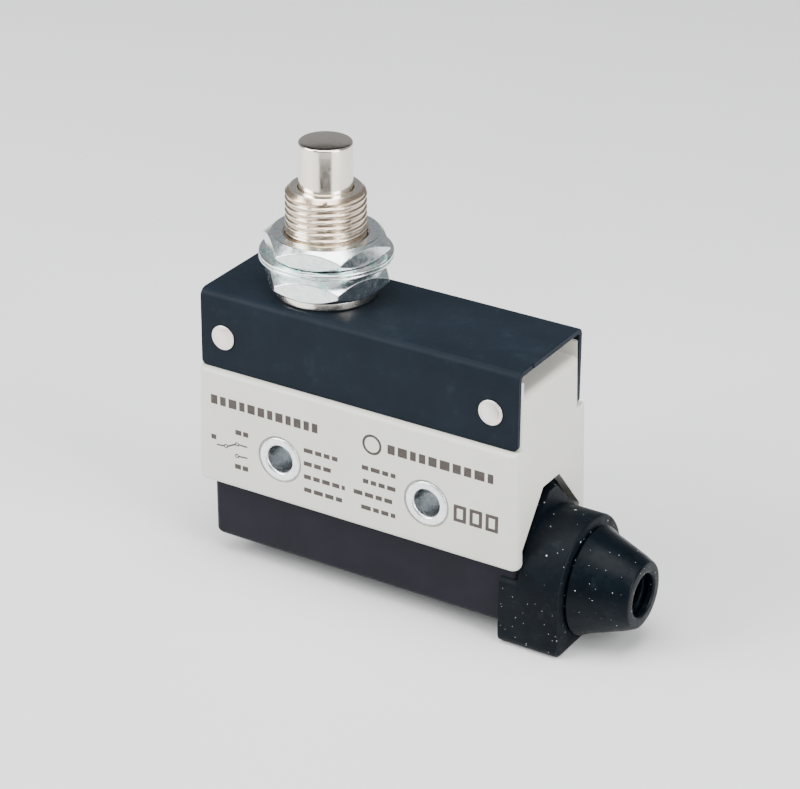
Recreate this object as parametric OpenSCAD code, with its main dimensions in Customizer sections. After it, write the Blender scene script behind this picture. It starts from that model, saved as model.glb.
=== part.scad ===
// Enclosed limit switch with a panel-mount plunger and a rubber cable boot.
// +X runs along the body towards the cable nozzle, +Y is the back, +Z is up.
// The origin is the middle of the two mounting holes, halfway through the body.

/* [Mounting holes] */
// Distance between the two mounting holes
hole_pitch = 25.4; // [25:0.1:26]
// Clear diameter of a mounting hole, inside its eyelet
hole_d = 4.3; // [4.1:0.1:4.4]

/* [Housing] */
// Length of the housing at its lower edge
body_l = 55.7; // [55.3:0.1:56.2]
// Thickness of the housing, front to back
body_t = 20.7; // [20.4:0.1:21]
// Height of the housing's lower edge
body_z0 = -7.3; // [-7.5:0.1:-7.2]
// Height of the ledge that the metal cover stands on
ledge_z = 11.7; // [11.5:0.1:11.9]
// Wall thickness of the housing
body_wall = 1.3; // [1.1:0.1:1.3]

/* [Metal cover] */
// Width of the cover, outside its two flanges
cover_w = 18.65; // [18.4:0.05:18.8]
// Height of the cover's top face
cover_top_z = 24.1; // [24:0.1:24.4]
// Sheet thickness of the cover
sheet_t = 0.9; // [0.8:0.05:1]
// Outside radius of the cover's bends
bend_r = 1.3; // [1.2:0.1:1.8]
// Half the distance between the two rivets
rivet_x = 22.8; // [22.4:0.1:23]
// Height of the rivets
rivet_z = 17.05; // [16.5:0.05:17.5]

/* [Plunger and bushing] */
// Place of the plunger axis along the body
bush_x = -10.95; // [-11.2:0.05:-10.7]
// Outside diameter of the M12 thread
thread_d = 12.0; // [12:0.1:12]
// Height of the bushing's top end
bush_top_z = 40.8; // [40.7:0.1:41.2]
// Diameter of the plunger
plunger_d = 8.0; // [7.9:0.05:8]
// Height of the plunger's top at rest
plunger_top_z = 48.0; // [47.8:0.1:48.4]
// Full travel of the plunger
plunger_travel = 5.5; // [4:0.1:5.5]
// Width of a nut across its flats
nut_af = 17.0; // [17:0.1:17]

/* [Terminal cover and cable entry] */
// Height of the terminal cover's underside
tray_z0 = -16.9; // [-17.1:0.1:-16.8]
// Width of the terminal cover
tray_w = 18.2; // [18:0.1:18.2]
// Height of the cable axis
cable_z = -11.05; // [-11.2:0.05:-10.9]
// Height of the rubber boot's underside
boot_z0 = -19.9; // [-20.2:0.1:-19.8]
// Outside radius of the boot's collar, and half its width
boot_r = 9.85; // [9.8:0.05:9.9]
// Clear diameter of the cable nozzle
nozzle_bore_d = 6.6; // [6:0.1:6.8]

/* [Hidden] */
$fn = 64;

eps = 0.01;              // overlap that makes a cut run through
slip = 0.1;              // gap between pieces that slide together at assembly
half_l = body_l / 2;
half_t = body_t / 2;
end_draft = 0.03;        // slope of the end walls, which lean inwards as they rise
inner_x = end_x(ledge_z) - body_wall;

// Metal cover and the part of the housing beneath it
cover_x0 = 0.15 - end_x(ledge_z);
cover_x1 = end_x(ledge_z) - 0.4;
cover_under_z = cover_top_z - sheet_t;
neck_t = cover_w - 2 * sheet_t - slip;          // housing thickness inside the cover
neck_top_z = cover_under_z - slip;
shelf_z = 19.8;          // floor of the pocket beneath the cover at each end
shelf_r = 1.1;           // rounded edge of that floor
pocket_x = 21;           // depth to which the pocket reaches in
cheek_t = 0.5;           // thin wall on each side of the pocket
cheek_z = 22.2;
side_wall = 1.15;
rivet_mid_x = -0.3;
rivet_shank_d = 2.5;
rivet_head_d = 3.9;
rivet_head_t = 0.3;

// Switch block inside the housing
switch_l = 49.2;
switch_w = 18.2;
switch_z0 = -6.0;
switch_lid_z = 9.5;
switch_top_z = 10.9;
chamber_z = 3.3;
chamber_x0 = -22.6;
chamber_x1 = 22.9;
chamber_w = 7.6;

// Eyelets
eyelet_d = 5.2;
eyelet_flange_d = 7.0;
eyelet_seat_d = 7.6;
eyelet_seat_depth = 0.4;
eyelet_flange_t = 0.5;

// Bushing, plunger and nuts
flange_d = 15.3;
lock_ring_d = 14.4;
flange_top_z = 25.5;
thread_top_z = bush_top_z - 0.75;
thread_free_z = 34.1;    // above this the thread is clear of the nuts
thread_clamped_d = thread_d - 0.4;
bush_bottom_z = 21.4;
bush_counterbore_d = 9.4;
bush_shoulder_z = 30.8;
oring_z = 38.3;
oring_section = 0.8;
plunger_skirt_z = 28.8;
plunger_pocket_d = 5.8;
plunger_pocket_z = 45.5;
pin_head_d = 5.4;
pin_head_z = 24.8;
pin_head_t = 1.5;
pin_d = 2.6;
lower_nut_z = 25.6;
lower_nut_t = 4.0;
lower_nut_top_r = 7.35;  // flat ring inside the nut's upper chamfer
lower_nut_turn = 12.6;   // angle of the nut's corners from +X
washer_t = 0.5;
washer_d = 19.9;
washer_bore_d = 13.2;
washer_shift = [-0.2, 0.4];     // the loose washers lie off the thread's axis
lower_washer_z = 29.63;
upper_washer_z = 30.18;
upper_nut_z = 30.75;
upper_nut_t = 3.1;
upper_nut_top_r = 8.0;
upper_nut_turn = 15;
nut_bottom_r = 8.3;
nut_chamfer = 40;        // slope of the nuts' chamfers
spring_wire_d = 0.5;
spring_turns = 9;

// Snap-action switch
pin_top_gap = 0.05;
button_top_z = 12.2;
button_d = 3.8;
button_nose_d = 1.2;
button_nose_z = 7.4;
button_gap = 0.05;        // between the button's nose and the blade at rest
blade_z = 6.4;
blade_t = 0.3;
blade_w = 6.0;
pivot_x = -21.8;         // rolled end of the blade, which rests on the common terminal
blade_x0 = -22.0;
blade_x1 = 19.0;
contact_x = 17.0;
contact_d = 3.4;
contact_gap = 0.05;      // between the moving contact and the one it rests on
moving_contact_z = 5.75;
moving_contact_t = 1.6;
no_contact_top_z = 4.2;
strip_t = 0.8;
thin_strip_t = 0.4;
tab_top_z = switch_z0 - slip;
com_leg_x = -21.8;
nc_leg_x = 21.8;
no_leg_x = 6.6;
com_screw_x = -18.0;
no_screw_x = 2.4;
nc_screw_x = 18.2;
term_shank_d = 3.4;
term_head_d = 6.0;
clamp_t = 0.8;

// Terminal cover
tray_x0 = -25.6;
tray_x1 = 27.6;
tray_wall = 1.2;
tray_rim_z = -6.7;
post_x = [-7.5, 11.0];
post_d = 6.0;
post_end_z = -13.2;
tray_boss_top_z = -13.3;
cover_screw_d = 2.6;
cover_screw_head_d = 4.6;
cover_screw_recess = 1.8;

// Boot and nozzle
boot_x0 = 24.7;
boot_x1 = 34.45;
boot_shoulder_z = -8.6;
boot_corner_r = 1.6;
boot_pocket_x = tray_x1 + 0.05;
boot_bore_d = 8.0;
nozzle_spigot_d = 12.8;
nozzle_spigot_x = 30.0;
nozzle_x1 = 43.2;
nozzle_base_r = 8.3;
nozzle_tip_r = 5.2;
nozzle_edge_r = 0.4;
nozzle_rib_count = 4;
nozzle_rib_pitch = 1.5;
nozzle_groove = 0.7;

// Opening in the housing's end wall, and the boot flange that fills it
open_top_z = 3.35;
open_top_hw = 2.4;
open_slope_z = -4.2;
open_side_hw = 8.6;
flange_gap = 1.2;        // visible gap around the boot's flange

// Place of the end wall's outer face at height z
function end_x(z) = half_l - end_draft * (z - body_z0);

function arc(cx, cy, r, a0, a1, n = 8) =
    [for (i = [0 : n]) let (a = a0 + (a1 - a0) * i / n) [cx + r * cos(a), cy + r * sin(a)]];

// Rectangle from (x0, y0) to (x1, y1) with its corners rounded
module round_box_2d(x0, y0, x1, y1, r) {
    translate([x0 + r, y0]) square([x1 - x0 - 2 * r, y1 - y0]);
    translate([x0, y0 + r]) square([x1 - x0, y1 - y0 - 2 * r]);
    for (x = [x0 + r, x1 - r], y = [y0 + r, y1 - r]) translate([x, y]) circle(r = r);
}

// Rectangle whose two upper corners are rounded
module arch_2d(x0, y0, x1, y1, r) {
    translate([x0, y0]) square([x1 - x0, y1 - r - y0]);
    translate([x0 + r, y0]) square([x1 - x0 - 2 * r, y1 - y0]);
    for (x = [x0 + r, x1 - r]) translate([x, y1 - r]) circle(r = r);
}

// Extrudes a drawing in the YZ plane along +X
module along_x(x0, x1) {
    translate([x0, 0, 0]) rotate([90, 0, 90]) linear_extrude(x1 - x0) children();
}

// Extrudes a drawing in the XZ plane along Y
module along_y(y0, y1) {
    translate([0, y1, 0]) rotate([90, 0, 0]) linear_extrude(y1 - y0) children();
}

module rod_y(x, z, d, y0, y1) {
    translate([x, y1, z]) rotate([90, 0, 0]) cylinder(d = d, h = y1 - y0);
}

module rod_z(x, y, z0, z1, d) {
    translate([x, y, z0]) cylinder(d = d, h = z1 - z0);
}

module block(x0, x1, y0, y1, z0, z1) {
    translate([x0, y0, z0]) cube([x1 - x0, y1 - y0, z1 - z0]);
}

// Cable opening: a flat top, two slopes, then straight sides down to the edge
module entry_2d(grow, z_low) {
    polygon([
        [-open_side_hw - grow, z_low],
        [-open_side_hw - grow, open_slope_z],
        [-open_top_hw - grow, open_top_z + grow],
        [open_top_hw + grow, open_top_z + grow],
        [open_side_hw + grow, open_slope_z],
        [open_side_hw + grow, z_low]
    ]);
}

// ---------------------------------------------------------------- housing

// Lower part of the housing: eased front edges, crisper back ones, drafted ends
module housing_band() {
    intersection() {
        translate([0, 0, body_z0]) linear_extrude(ledge_z - body_z0) {
            round_box_2d(-half_l, -half_t, half_l, half_t, 1.3);
            round_box_2d(-half_l, 0, half_l, half_t, 0.5);
        }
        along_y(-half_t, half_t) polygon([
            [-half_l + 0.8, body_z0], [half_l - 0.8, body_z0], [half_l, body_z0 + 0.8],
            [end_x(ledge_z + 1), ledge_z + 1], [-end_x(ledge_z + 1), ledge_z + 1],
            [-half_l, body_z0 + 0.8]
        ]);
    }
}

// Upper part of the housing at one end: a shelf with a rounded edge between two thin cheeks
module neck_end() {
    edge_z = shelf_z - shelf_r;
    along_y(-neck_t / 2, neck_t / 2) polygon(concat(
        [[pocket_x - 1, ledge_z - 1], [end_x(ledge_z - 1), ledge_z - 1]],
        arc(end_x(edge_z) - shelf_r, edge_z, shelf_r, 0, 90),
        [[pocket_x - 1, shelf_z]]
    ));
    for (y = [-neck_t / 2, neck_t / 2 - cheek_t]) along_y(y, y + cheek_t) polygon([
        [pocket_x - 1, ledge_z - 1], [end_x(ledge_z - 1), ledge_z - 1],
        [end_x(cheek_z), cheek_z], [pocket_x - 1, cheek_z]
    ]);
}

module housing_cavity() {
    hw = neck_t / 2 - 1.1;
    deep_x = pocket_x - body_wall;
    block(-inner_x, inner_x, -half_t + side_wall, half_t - side_wall, body_z0 - 1, switch_top_z + slip);
    block(-inner_x + 0.8, inner_x - 0.8, -hw, hw, switch_top_z, shelf_z - body_wall);
    block(-deep_x, deep_x, -hw, hw, switch_top_z, neck_top_z - body_wall);
}

module housing() {
    color([0.80, 0.79, 0.75]) difference() {
        union() {
            difference() {
                union() {
                    housing_band();
                    along_x(-pocket_x, pocket_x)
                        arch_2d(-neck_t / 2, ledge_z - 1, neck_t / 2, neck_top_z, bend_r - sheet_t + slip);
                    neck_end();
                    mirror([1, 0, 0]) neck_end();
                }
                housing_cavity();
            }
            for (s = [-1, 1])
                rod_y(rivet_mid_x + s * rivet_x, rivet_z, 5, -neck_t / 2 + 1, neck_t / 2 - 1);
            for (y = [-5, 5])
                block(-half_l + 1, -switch_l / 2 - slip, y - 0.6, y + 0.6, switch_z0, switch_top_z);
        }
        for (s = [-1, 1]) {
            rod_y(rivet_mid_x + s * rivet_x, rivet_z, rivet_shank_d + 0.1, -half_t, half_t);
            rod_y(s * hole_pitch / 2, 0, eyelet_d + slip, -half_t - 1, half_t + 1);
            rod_y(s * hole_pitch / 2, 0, eyelet_seat_d, -half_t - 1, -half_t + eyelet_seat_depth);
            rod_y(s * hole_pitch / 2, 0, eyelet_seat_d, half_t - 2 * eyelet_seat_depth, half_t + 1);
        }
        rod_z(bush_x, 0, neck_top_z - body_wall - 1, neck_top_z + 1, flange_d + 4 * slip);
        along_x(inner_x - 1, half_l + 1) entry_2d(0, body_z0 - 1);
    }
}

// ---------------------------------------------------------------- metal cover

module top_cover() {
    hw = cover_w / 2;
    color([0.13, 0.15, 0.18]) difference() {
        intersection() {
            along_x(cover_x0, cover_x1) difference() {
                arch_2d(-hw, ledge_z, hw, cover_top_z, bend_r);
                arch_2d(-hw + sheet_t, ledge_z - 1, hw - sheet_t, cover_under_z, bend_r - sheet_t);
            }
            along_y(-hw - 1, hw + 1)
                round_box_2d(cover_x0, ledge_z + 0.05, cover_x1, cover_top_z + 2, 0.8);
        }
        rod_z(bush_x, 0, cover_under_z - 1, cover_top_z + 1, thread_d + slip);
        for (s = [-1, 1])
            rod_y(rivet_mid_x + s * rivet_x, rivet_z, rivet_shank_d + 0.1, -half_t, half_t);
    }
}

module rivet(x) {
    hw = cover_w / 2;
    color([0.86, 0.84, 0.80]) {
        rod_y(x, rivet_z, rivet_shank_d, -hw - eps, hw + eps);
        for (y = [-hw - rivet_head_t, hw]) rod_y(x, rivet_z, rivet_head_d, y, y + rivet_head_t);
    }
}

module rivet_left() { rivet(rivet_mid_x - rivet_x); }
module rivet_right() { rivet(rivet_mid_x + rivet_x); }

// Tube with a rounded front flange and a sunk back flange
module eyelet(x) {
    front = -half_t + eyelet_seat_depth - eyelet_flange_t;
    back = half_t - eyelet_seat_depth + 0.25;
    ri = hole_d / 2;
    ro = eyelet_d / 2;
    rf = eyelet_flange_d / 2;
    round_r = eyelet_flange_t / 2;
    color([0.85, 0.86, 0.87]) translate([x, 0, 0]) rotate([-90, 0, 0]) rotate_extrude()
        polygon(concat(
            arc(ri + round_r, front + round_r, round_r, 180, 270, 5),
            arc(rf - round_r, front + round_r, round_r, -90, 90, 8),
            [[ro, front + eyelet_flange_t], [ro, back - 0.5], [rf, back - 0.5], [rf, back], [ri, back]]
        ));
}

module eyelet_left() { eyelet(-hole_pitch / 2); }
module eyelet_right() { eyelet(hole_pitch / 2); }

// ---------------------------------------------------------------- bushing and plunger

module on_bush_axis() { translate([bush_x, 0, 0]) children(); }

module bushing() {
    tr = thread_d / 2;
    cr = thread_clamped_d / 2;
    bore = plunger_d / 2 + 0.06;
    cb = bush_counterbore_d / 2;
    groove = bore + oring_section;
    color([0.80, 0.76, 0.70]) on_bush_axis() rotate_extrude() polygon([
        [cb, bush_bottom_z], [cr, bush_bottom_z], [cr, cover_top_z],
        [flange_d / 2, cover_top_z], [flange_d / 2, flange_top_z],
        [cr, flange_top_z], [cr, thread_free_z],
        [tr, thread_free_z], [tr, thread_top_z],
        [tr - 0.7, bush_top_z], [bore + 0.3, bush_top_z], [bore, bush_top_z - 0.3],
        [bore, oring_z + oring_section / 2 + 0.05], [groove, oring_z + oring_section / 2 + 0.05],
        [groove, oring_z - oring_section / 2 - 0.05], [bore, oring_z - oring_section / 2 - 0.05],
        [bore, bush_shoulder_z], [cb, bush_shoulder_z]
    ]);
}

module bushing_lock_ring() {
    color([0.55, 0.56, 0.58]) on_bush_axis() difference() {
        rod_z(0, 0, cover_under_z - 1.25, cover_under_z - 0.02, lock_ring_d);
        rod_z(0, 0, cover_under_z - 3, cover_under_z + 1, thread_clamped_d + 0.05);
    }
}

module plunger() {
    pr = plunger_d / 2;
    edge = 0.35;
    dome = 0.25;
    color([0.86, 0.83, 0.78]) on_bush_axis() rotate_extrude() polygon(concat(
        [[plunger_pocket_d / 2, plunger_skirt_z], [bush_counterbore_d / 2 - 0.1, plunger_skirt_z],
            [bush_counterbore_d / 2 - 0.1, bush_shoulder_z - 0.02], [pr, bush_shoulder_z - 0.02]],
        arc(pr - edge, plunger_top_z - dome - edge, edge, 0, 80, 5),
        [[0, plunger_top_z], [0, plunger_pocket_z], [plunger_pocket_d / 2, plunger_pocket_z]]
    ));
}

// Coil of round wire, swept as rings along a helix
module coil(r, wire_d, z0, z1, turns) {
    sides = 6;
    steps = turns * 12;
    function ring(i) = let (a = 360 * turns * i / steps, z = z0 + (z1 - z0) * i / steps)
        [for (k = [0 : sides - 1]) let (b = 360 * k / sides, w = wire_d / 2)
            [(r + w * cos(b)) * cos(a), (r + w * cos(b)) * sin(a), z + w * sin(b)]];
    points = [for (i = [0 : steps]) each ring(i)];
    walls = [for (i = [0 : steps - 1], k = [0 : sides - 1]) let (n = (k + 1) % sides)
        [i * sides + k, i * sides + n, (i + 1) * sides + n, (i + 1) * sides + k]];
    first = [for (k = [0 : sides - 1]) sides - 1 - k];
    last = [for (k = [0 : sides - 1]) steps * sides + k];
    polyhedron(points, concat([first], walls, [last]), convexity = 8);
}

module plunger_spring() {
    color([0.70, 0.71, 0.73]) on_bush_axis()
        coil(2.35, spring_wire_d, pin_head_z + pin_head_t + 0.3, plunger_pocket_z - 0.3, spring_turns);
}

module plunger_oring() {
    ring_r = plunger_d / 2 + 0.04 + oring_section / 2;
    color([0.10, 0.10, 0.10]) on_bush_axis() translate([0, 0, oring_z]) rotate_extrude()
        translate([ring_r, 0]) circle(d = oring_section);
}

module actuator_pin() {
    color([0.75, 0.70, 0.45]) on_bush_axis() {
        rod_z(0, 0, pin_head_z, pin_head_z + pin_head_t, pin_head_d);
        rod_z(0, 0, button_top_z + pin_top_gap, pin_head_z + eps, pin_d);
    }
}

module pin_guide() {
    color([0.92, 0.91, 0.86]) on_bush_axis() difference() {
        rod_z(0, 0, bush_bottom_z + 0.1, bush_bottom_z + 1.6, bush_counterbore_d - 0.04);
        rod_z(0, 0, bush_bottom_z - 1, bush_bottom_z + 3, pin_d + 0.12);
    }
}

// ---------------------------------------------------------------- nuts and washers

// Hexagon nut, chamfered at both ends, that clears the plain thread cylinder
module hex_nut(z, t, top_r, turn) {
    corner_r = nut_af / 2 / cos(30);
    barrel_r = corner_r + 0.3;
    slope = tan(nut_chamfer);
    color([0.80, 0.83, 0.84]) on_bush_axis() translate([0, 0, z]) difference() {
        intersection() {
            rotate([0, 0, turn]) cylinder(r = corner_r, h = t, $fn = 6);
            rotate_extrude() polygon([
                [0, 0], [nut_bottom_r, 0], [barrel_r, (barrel_r - nut_bottom_r) * slope],
                [barrel_r, t - (barrel_r - top_r) * slope], [top_r, t], [0, t]
            ]);
        }
        translate([0, 0, -1]) cylinder(d = thread_d + 0.12, h = t + 2);
    }
}

module washer(z) {
    color([0.78, 0.81, 0.80]) on_bush_axis() translate(washer_shift) difference() {
        rod_z(0, 0, z, z + washer_t, washer_d);
        rod_z(0, 0, z - 1, z + 2, washer_bore_d);
    }
}

module upper_nut() { hex_nut(upper_nut_z, upper_nut_t, upper_nut_top_r, upper_nut_turn); }
module lower_nut() { hex_nut(lower_nut_z, lower_nut_t, lower_nut_top_r, lower_nut_turn); }
module upper_washer() { washer(upper_washer_z); }
module lower_washer() { washer(lower_washer_z); }

// ---------------------------------------------------------------- snap-action switch

module switch_base() {
    color([0.35, 0.16, 0.12]) difference() {
        union() {
            block(-switch_l / 2, switch_l / 2, -switch_w / 2, switch_w / 2, switch_z0, switch_lid_z);
            for (x = post_x) rod_z(x, 0, post_end_z, switch_z0 + eps, post_d);
        }
        block(chamber_x0, chamber_x1, -chamber_w / 2, chamber_w / 2, chamber_z, switch_lid_z + 1);
        for (s = [-1, 1])
            rod_y(s * hole_pitch / 2, 0, eyelet_d + slip, -switch_w, switch_w);
        for (x = [com_screw_x, no_screw_x, nc_screw_x])
            rod_z(x, 0, switch_z0 - 1, -2.2, term_shank_d + slip);
        for (x = post_x) rod_z(x, 0, post_end_z - 1, -4.5, cover_screw_d + slip);
        for (x = [com_leg_x, nc_leg_x, no_leg_x])
            block(x - slip, x + strip_t + slip, -2.6, 2.6, switch_z0 - 1, chamber_z + 1);
        for (s = [-1, 1]) rod_z(0, s * 5, 3, switch_lid_z + 1, 2.05);
    }
}

module switch_lid() {
    color([0.28, 0.13, 0.10]) difference() {
        block(-switch_l / 2, switch_l / 2, -switch_w / 2, switch_w / 2,
            switch_lid_z + 0.02, switch_top_z);
        rod_z(bush_x, 0, switch_lid_z - 1, switch_top_z + 1, button_d + 0.12);
        for (s = [-1, 1]) rod_z(0, s * 5, switch_lid_z - 1, switch_top_z + 1, 2.05);
    }
}

module lid_rivets() {
    color([0.80, 0.72, 0.45]) for (s = [-1, 1]) {
        rod_z(0, s * 5, 3.2, switch_top_z + eps, 2);
        rod_z(0, s * 5, switch_top_z, switch_top_z + 0.6, 3.4);
    }
}

module push_button() {
    color([0.60, 0.10, 0.08]) on_bush_axis() {
        rod_z(0, 0, blade_z + blade_t + button_gap, button_nose_z + eps, button_nose_d);
        rod_z(0, 0, button_nose_z, button_top_z, button_d);
        rod_z(0, 0, switch_lid_z - 1.3, switch_lid_z - 0.2, button_d + 1.8);
    }
}

module button_seal() {
    color([0.12, 0.12, 0.12]) on_bush_axis() difference() {
        translate([0, 0, switch_top_z + 0.02]) cylinder(r1 = 3.6, r2 = 2.8, h = 1);
        rod_z(0, 0, switch_top_z - 1, switch_top_z + 3, button_d + 0.16);
    }
}

// Leaf with a rolled pivot end, a window, and a bowed tongue that makes the snap
module moving_blade() {
    window_x0 = -7;
    window_x1 = 9;
    sag = 0.9;
    n = 12;
    curl_d = 0.7;
    function bow(x) = blade_z - sag * (1 - pow((x + 1) / 8, 2)) - 0.1;
    color([0.78, 0.60, 0.32]) {
        difference() {
            block(blade_x0, blade_x1, -blade_w / 2, blade_w / 2, blade_z, blade_z + blade_t);
            block(window_x0, window_x1 - 1, -1.7, 1.7, blade_z - 1, blade_z + 1);
            rod_z(contact_x, 0, blade_z - 1, blade_z + 1, 1.6);
        }
        rod_y(pivot_x, blade_z, curl_d, -blade_w / 2, blade_w / 2);
        along_y(-1.3, 1.3) polygon(concat(
            [for (i = [0 : n]) let (x = window_x0 + 0.3 + (window_x1 - window_x0) * i / n)
                [x, bow(x) + blade_t]],
            [for (i = [n : -1 : 0]) let (x = window_x0 + 0.3 + (window_x1 - window_x0) * i / n)
                [x, bow(x)]]
        ));
    }
}

module moving_contact() {
    color([0.88, 0.88, 0.86]) {
        rod_z(contact_x, 0, moving_contact_z, blade_z - 0.01, contact_d);
        rod_z(contact_x, 0, blade_z + blade_t + 0.01, moving_contact_z + moving_contact_t, contact_d);
        rod_z(contact_x, 0, moving_contact_z + 0.1, moving_contact_z + moving_contact_t - 0.1, 1.55);
    }
}

nc_contact_z = moving_contact_z + moving_contact_t + contact_gap;
nc_strip_z = nc_contact_z + 0.6;

module nc_contact() {
    color([0.88, 0.88, 0.86]) rod_z(contact_x, 0, nc_contact_z, nc_strip_z - 0.01, contact_d);
}

module no_contact() {
    color([0.88, 0.88, 0.86])
        rod_z(contact_x, 0, chamber_z + 0.1 + thin_strip_t + 0.01, no_contact_top_z, contact_d);
}

// Solder-free terminal: a tab under the base, and a leg up into the chamber
module terminal(leg_x, tab_x0, tab_x1, screw_x, top_z) {
    difference() {
        block(tab_x0, tab_x1, -2.5, 2.5, tab_top_z - strip_t, tab_top_z);
        rod_z(screw_x, 0, tab_top_z - 2, tab_top_z + 1, term_shank_d + slip);
    }
    block(leg_x, leg_x + strip_t, -2.5, 2.5, tab_top_z - strip_t, top_z);
}

module com_terminal() {
    floor_z = chamber_z + 0.1;
    fulcrum_x = -8.4;
    color([0.80, 0.64, 0.34]) {
        terminal(com_leg_x, com_leg_x, com_screw_x + 3, com_screw_x, blade_z - 0.4);
        block(com_leg_x, fulcrum_x + strip_t, -2.5, 2.5, floor_z, floor_z + strip_t);
        block(fulcrum_x, fulcrum_x + strip_t, -2.5, 2.5, floor_z, blade_z - 1.1);
    }
}

module nc_terminal() {
    color([0.80, 0.64, 0.34]) {
        terminal(nc_leg_x, nc_screw_x - 3, nc_leg_x + strip_t, nc_screw_x, nc_strip_z + thin_strip_t);
        block(contact_x - 1.8, nc_leg_x + strip_t, -2.5, 2.5, nc_strip_z, nc_strip_z + thin_strip_t);
    }
}

module no_terminal() {
    floor_z = chamber_z + 0.1;
    color([0.80, 0.64, 0.34]) {
        terminal(no_leg_x, no_screw_x - 3, no_leg_x + strip_t, no_screw_x, floor_z + thin_strip_t);
        block(no_leg_x, contact_x + 1.8, -2.5, 2.5, floor_z, floor_z + thin_strip_t);
    }
}

module terminal_screw(x) {
    clamp_z = tab_top_z - strip_t - clamp_t - 0.04;
    color([0.82, 0.82, 0.80]) difference() {
        union() {
            rod_z(x, 0, clamp_z - eps, -2.5, term_shank_d);
            rod_z(x, 0, clamp_z - 2.2, clamp_z, term_head_d);
        }
        block(x - term_head_d, x + term_head_d, -0.4, 0.4, clamp_z - 3, clamp_z - 1.4);
    }
}

// Wire clamp: a square plate with two down-turned edges
module wire_clamp(x) {
    top = tab_top_z - strip_t - 0.02;
    color([0.80, 0.80, 0.78]) difference() {
        union() {
            block(x - 3.1, x + 3.1, -3.3, 3.3, top - clamp_t, top);
            for (y = [-4.1, 3.3]) block(x - 3.1, x + 3.1, y, y + clamp_t, top - 1.8, top);
        }
        rod_z(x, 0, top - 2, top + 1, term_shank_d + 2 * slip);
    }
}

module com_screw() { terminal_screw(com_screw_x); }
module nc_screw() { terminal_screw(nc_screw_x); }
module no_screw() { terminal_screw(no_screw_x); }
module com_clamp() { wire_clamp(com_screw_x); }
module nc_clamp() { wire_clamp(nc_screw_x); }
module no_clamp() { wire_clamp(no_screw_x); }

// ---------------------------------------------------------------- terminal cover

module terminal_cover() {
    hw = tray_w / 2;
    color([0.21, 0.21, 0.24]) difference() {
        union() {
            difference() {
                intersection() {
                    along_x(tray_x0, tray_x1) round_box_2d(-hw, tray_z0, hw, tray_rim_z + 2, 1.2);
                    along_y(-hw, hw) round_box_2d(tray_x0, tray_z0, tray_x1 + 3, tray_rim_z + 2, 1.2);
                    block(tray_x0, tray_x1, -hw, hw, tray_z0, tray_rim_z);
                }
                block(tray_x0 + tray_wall, tray_x1 - tray_wall, -hw + tray_wall, hw - tray_wall,
                    tray_z0 + tray_wall + 0.1, tray_rim_z + 1);
                block(tray_x1 - 2 * tray_wall, tray_x1 + 1, -4.6, 4.6,
                    tray_z0 + tray_wall + 0.1, tray_rim_z + 1);
            }
            for (x = post_x) rod_z(x, 0, tray_z0 + 1, tray_boss_top_z, 7);
        }
        block(inner_x - slip, tray_x1 + 1, -hw - 1, hw + 1, body_z0 - slip / 2, tray_rim_z + 1);
        for (x = post_x) {
            rod_z(x, 0, tray_z0 - 1, 0, cover_screw_d + 2 * slip);
            rod_z(x, 0, tray_z0 - 1, tray_z0 + cover_screw_recess, cover_screw_head_d + 4 * slip);
        }
    }
}

module cover_gasket() {
    hw = tray_w / 2 - 0.05;
    z0 = tray_rim_z + 0.02;
    color([0.08, 0.08, 0.08]) difference() {
        block(tray_x0 + 0.9, boot_x0, -hw, hw, z0, switch_z0 - 0.02);
        block(tray_x0 + 2.4, boot_x0 + 1, -hw + 1.2, hw - 1.2, z0 - 1, switch_z0 + 1);
    }
}

module cover_screw(x) {
    top = tray_z0 + cover_screw_recess - 0.02;
    color([0.80, 0.80, 0.78]) difference() {
        union() {
            rod_z(x, 0, top - eps, -5, cover_screw_d);
            rod_z(x, 0, top - 1.5, top, cover_screw_head_d);
        }
        for (a = [0, 90]) translate([x, 0, top - 2]) rotate([0, 0, a])
            block(-1.3, 1.3, -0.3, 0.3, 0, 1.2);
    }
}

module cover_screw_left() { cover_screw(post_x[0]); }
module cover_screw_right() { cover_screw(post_x[1]); }

// ---------------------------------------------------------------- boot and nozzle

// Collar outline: round above the cable axis, square with eased corners below it
module collar_2d() {
    intersection() {
        translate([0, cable_z]) circle(r = boot_r);
        translate([-boot_r, cable_z - 3]) square([2 * boot_r, boot_r + 4]);
    }
    round_box_2d(-boot_r, boot_z0, boot_r, boot_shoulder_z - 4, boot_corner_r);
    translate([-boot_r, boot_z0 + 2]) square([2 * boot_r, cable_z - boot_z0 - 2]);
}

module boot_flange_2d(grow) {
    entry_2d(grow - flange_gap, switch_z0 - 0.5);
}

module cable_boot() {
    pocket_hw = tray_w / 2 + 0.05;
    color([0.09, 0.10, 0.11]) difference() {
        union() {
            along_x(boot_pocket_x, boot_x1) collar_2d();
            along_x(boot_x0, boot_pocket_x + 1)
                round_box_2d(-boot_r, boot_z0, boot_r, boot_shoulder_z, 1);
            along_x(boot_x0 + 0.3, boot_pocket_x + 0.3) boot_flange_2d(0);
            along_x(boot_x0 + 0.3, inner_x - slip) boot_flange_2d(flange_gap + 0.4);
        }
        block(boot_x0 - 1, boot_pocket_x, -pocket_hw, pocket_hw, tray_z0 - 0.05, tray_rim_z + 0.1);
        translate([boot_x0, 0, cable_z]) rotate([0, 90, 0]) cylinder(d = boot_bore_d, h = 12);
        translate([nozzle_spigot_x - 0.05, 0, cable_z]) rotate([0, 90, 0])
            cylinder(d = nozzle_spigot_d + 0.1, h = 12);
    }
}

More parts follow.
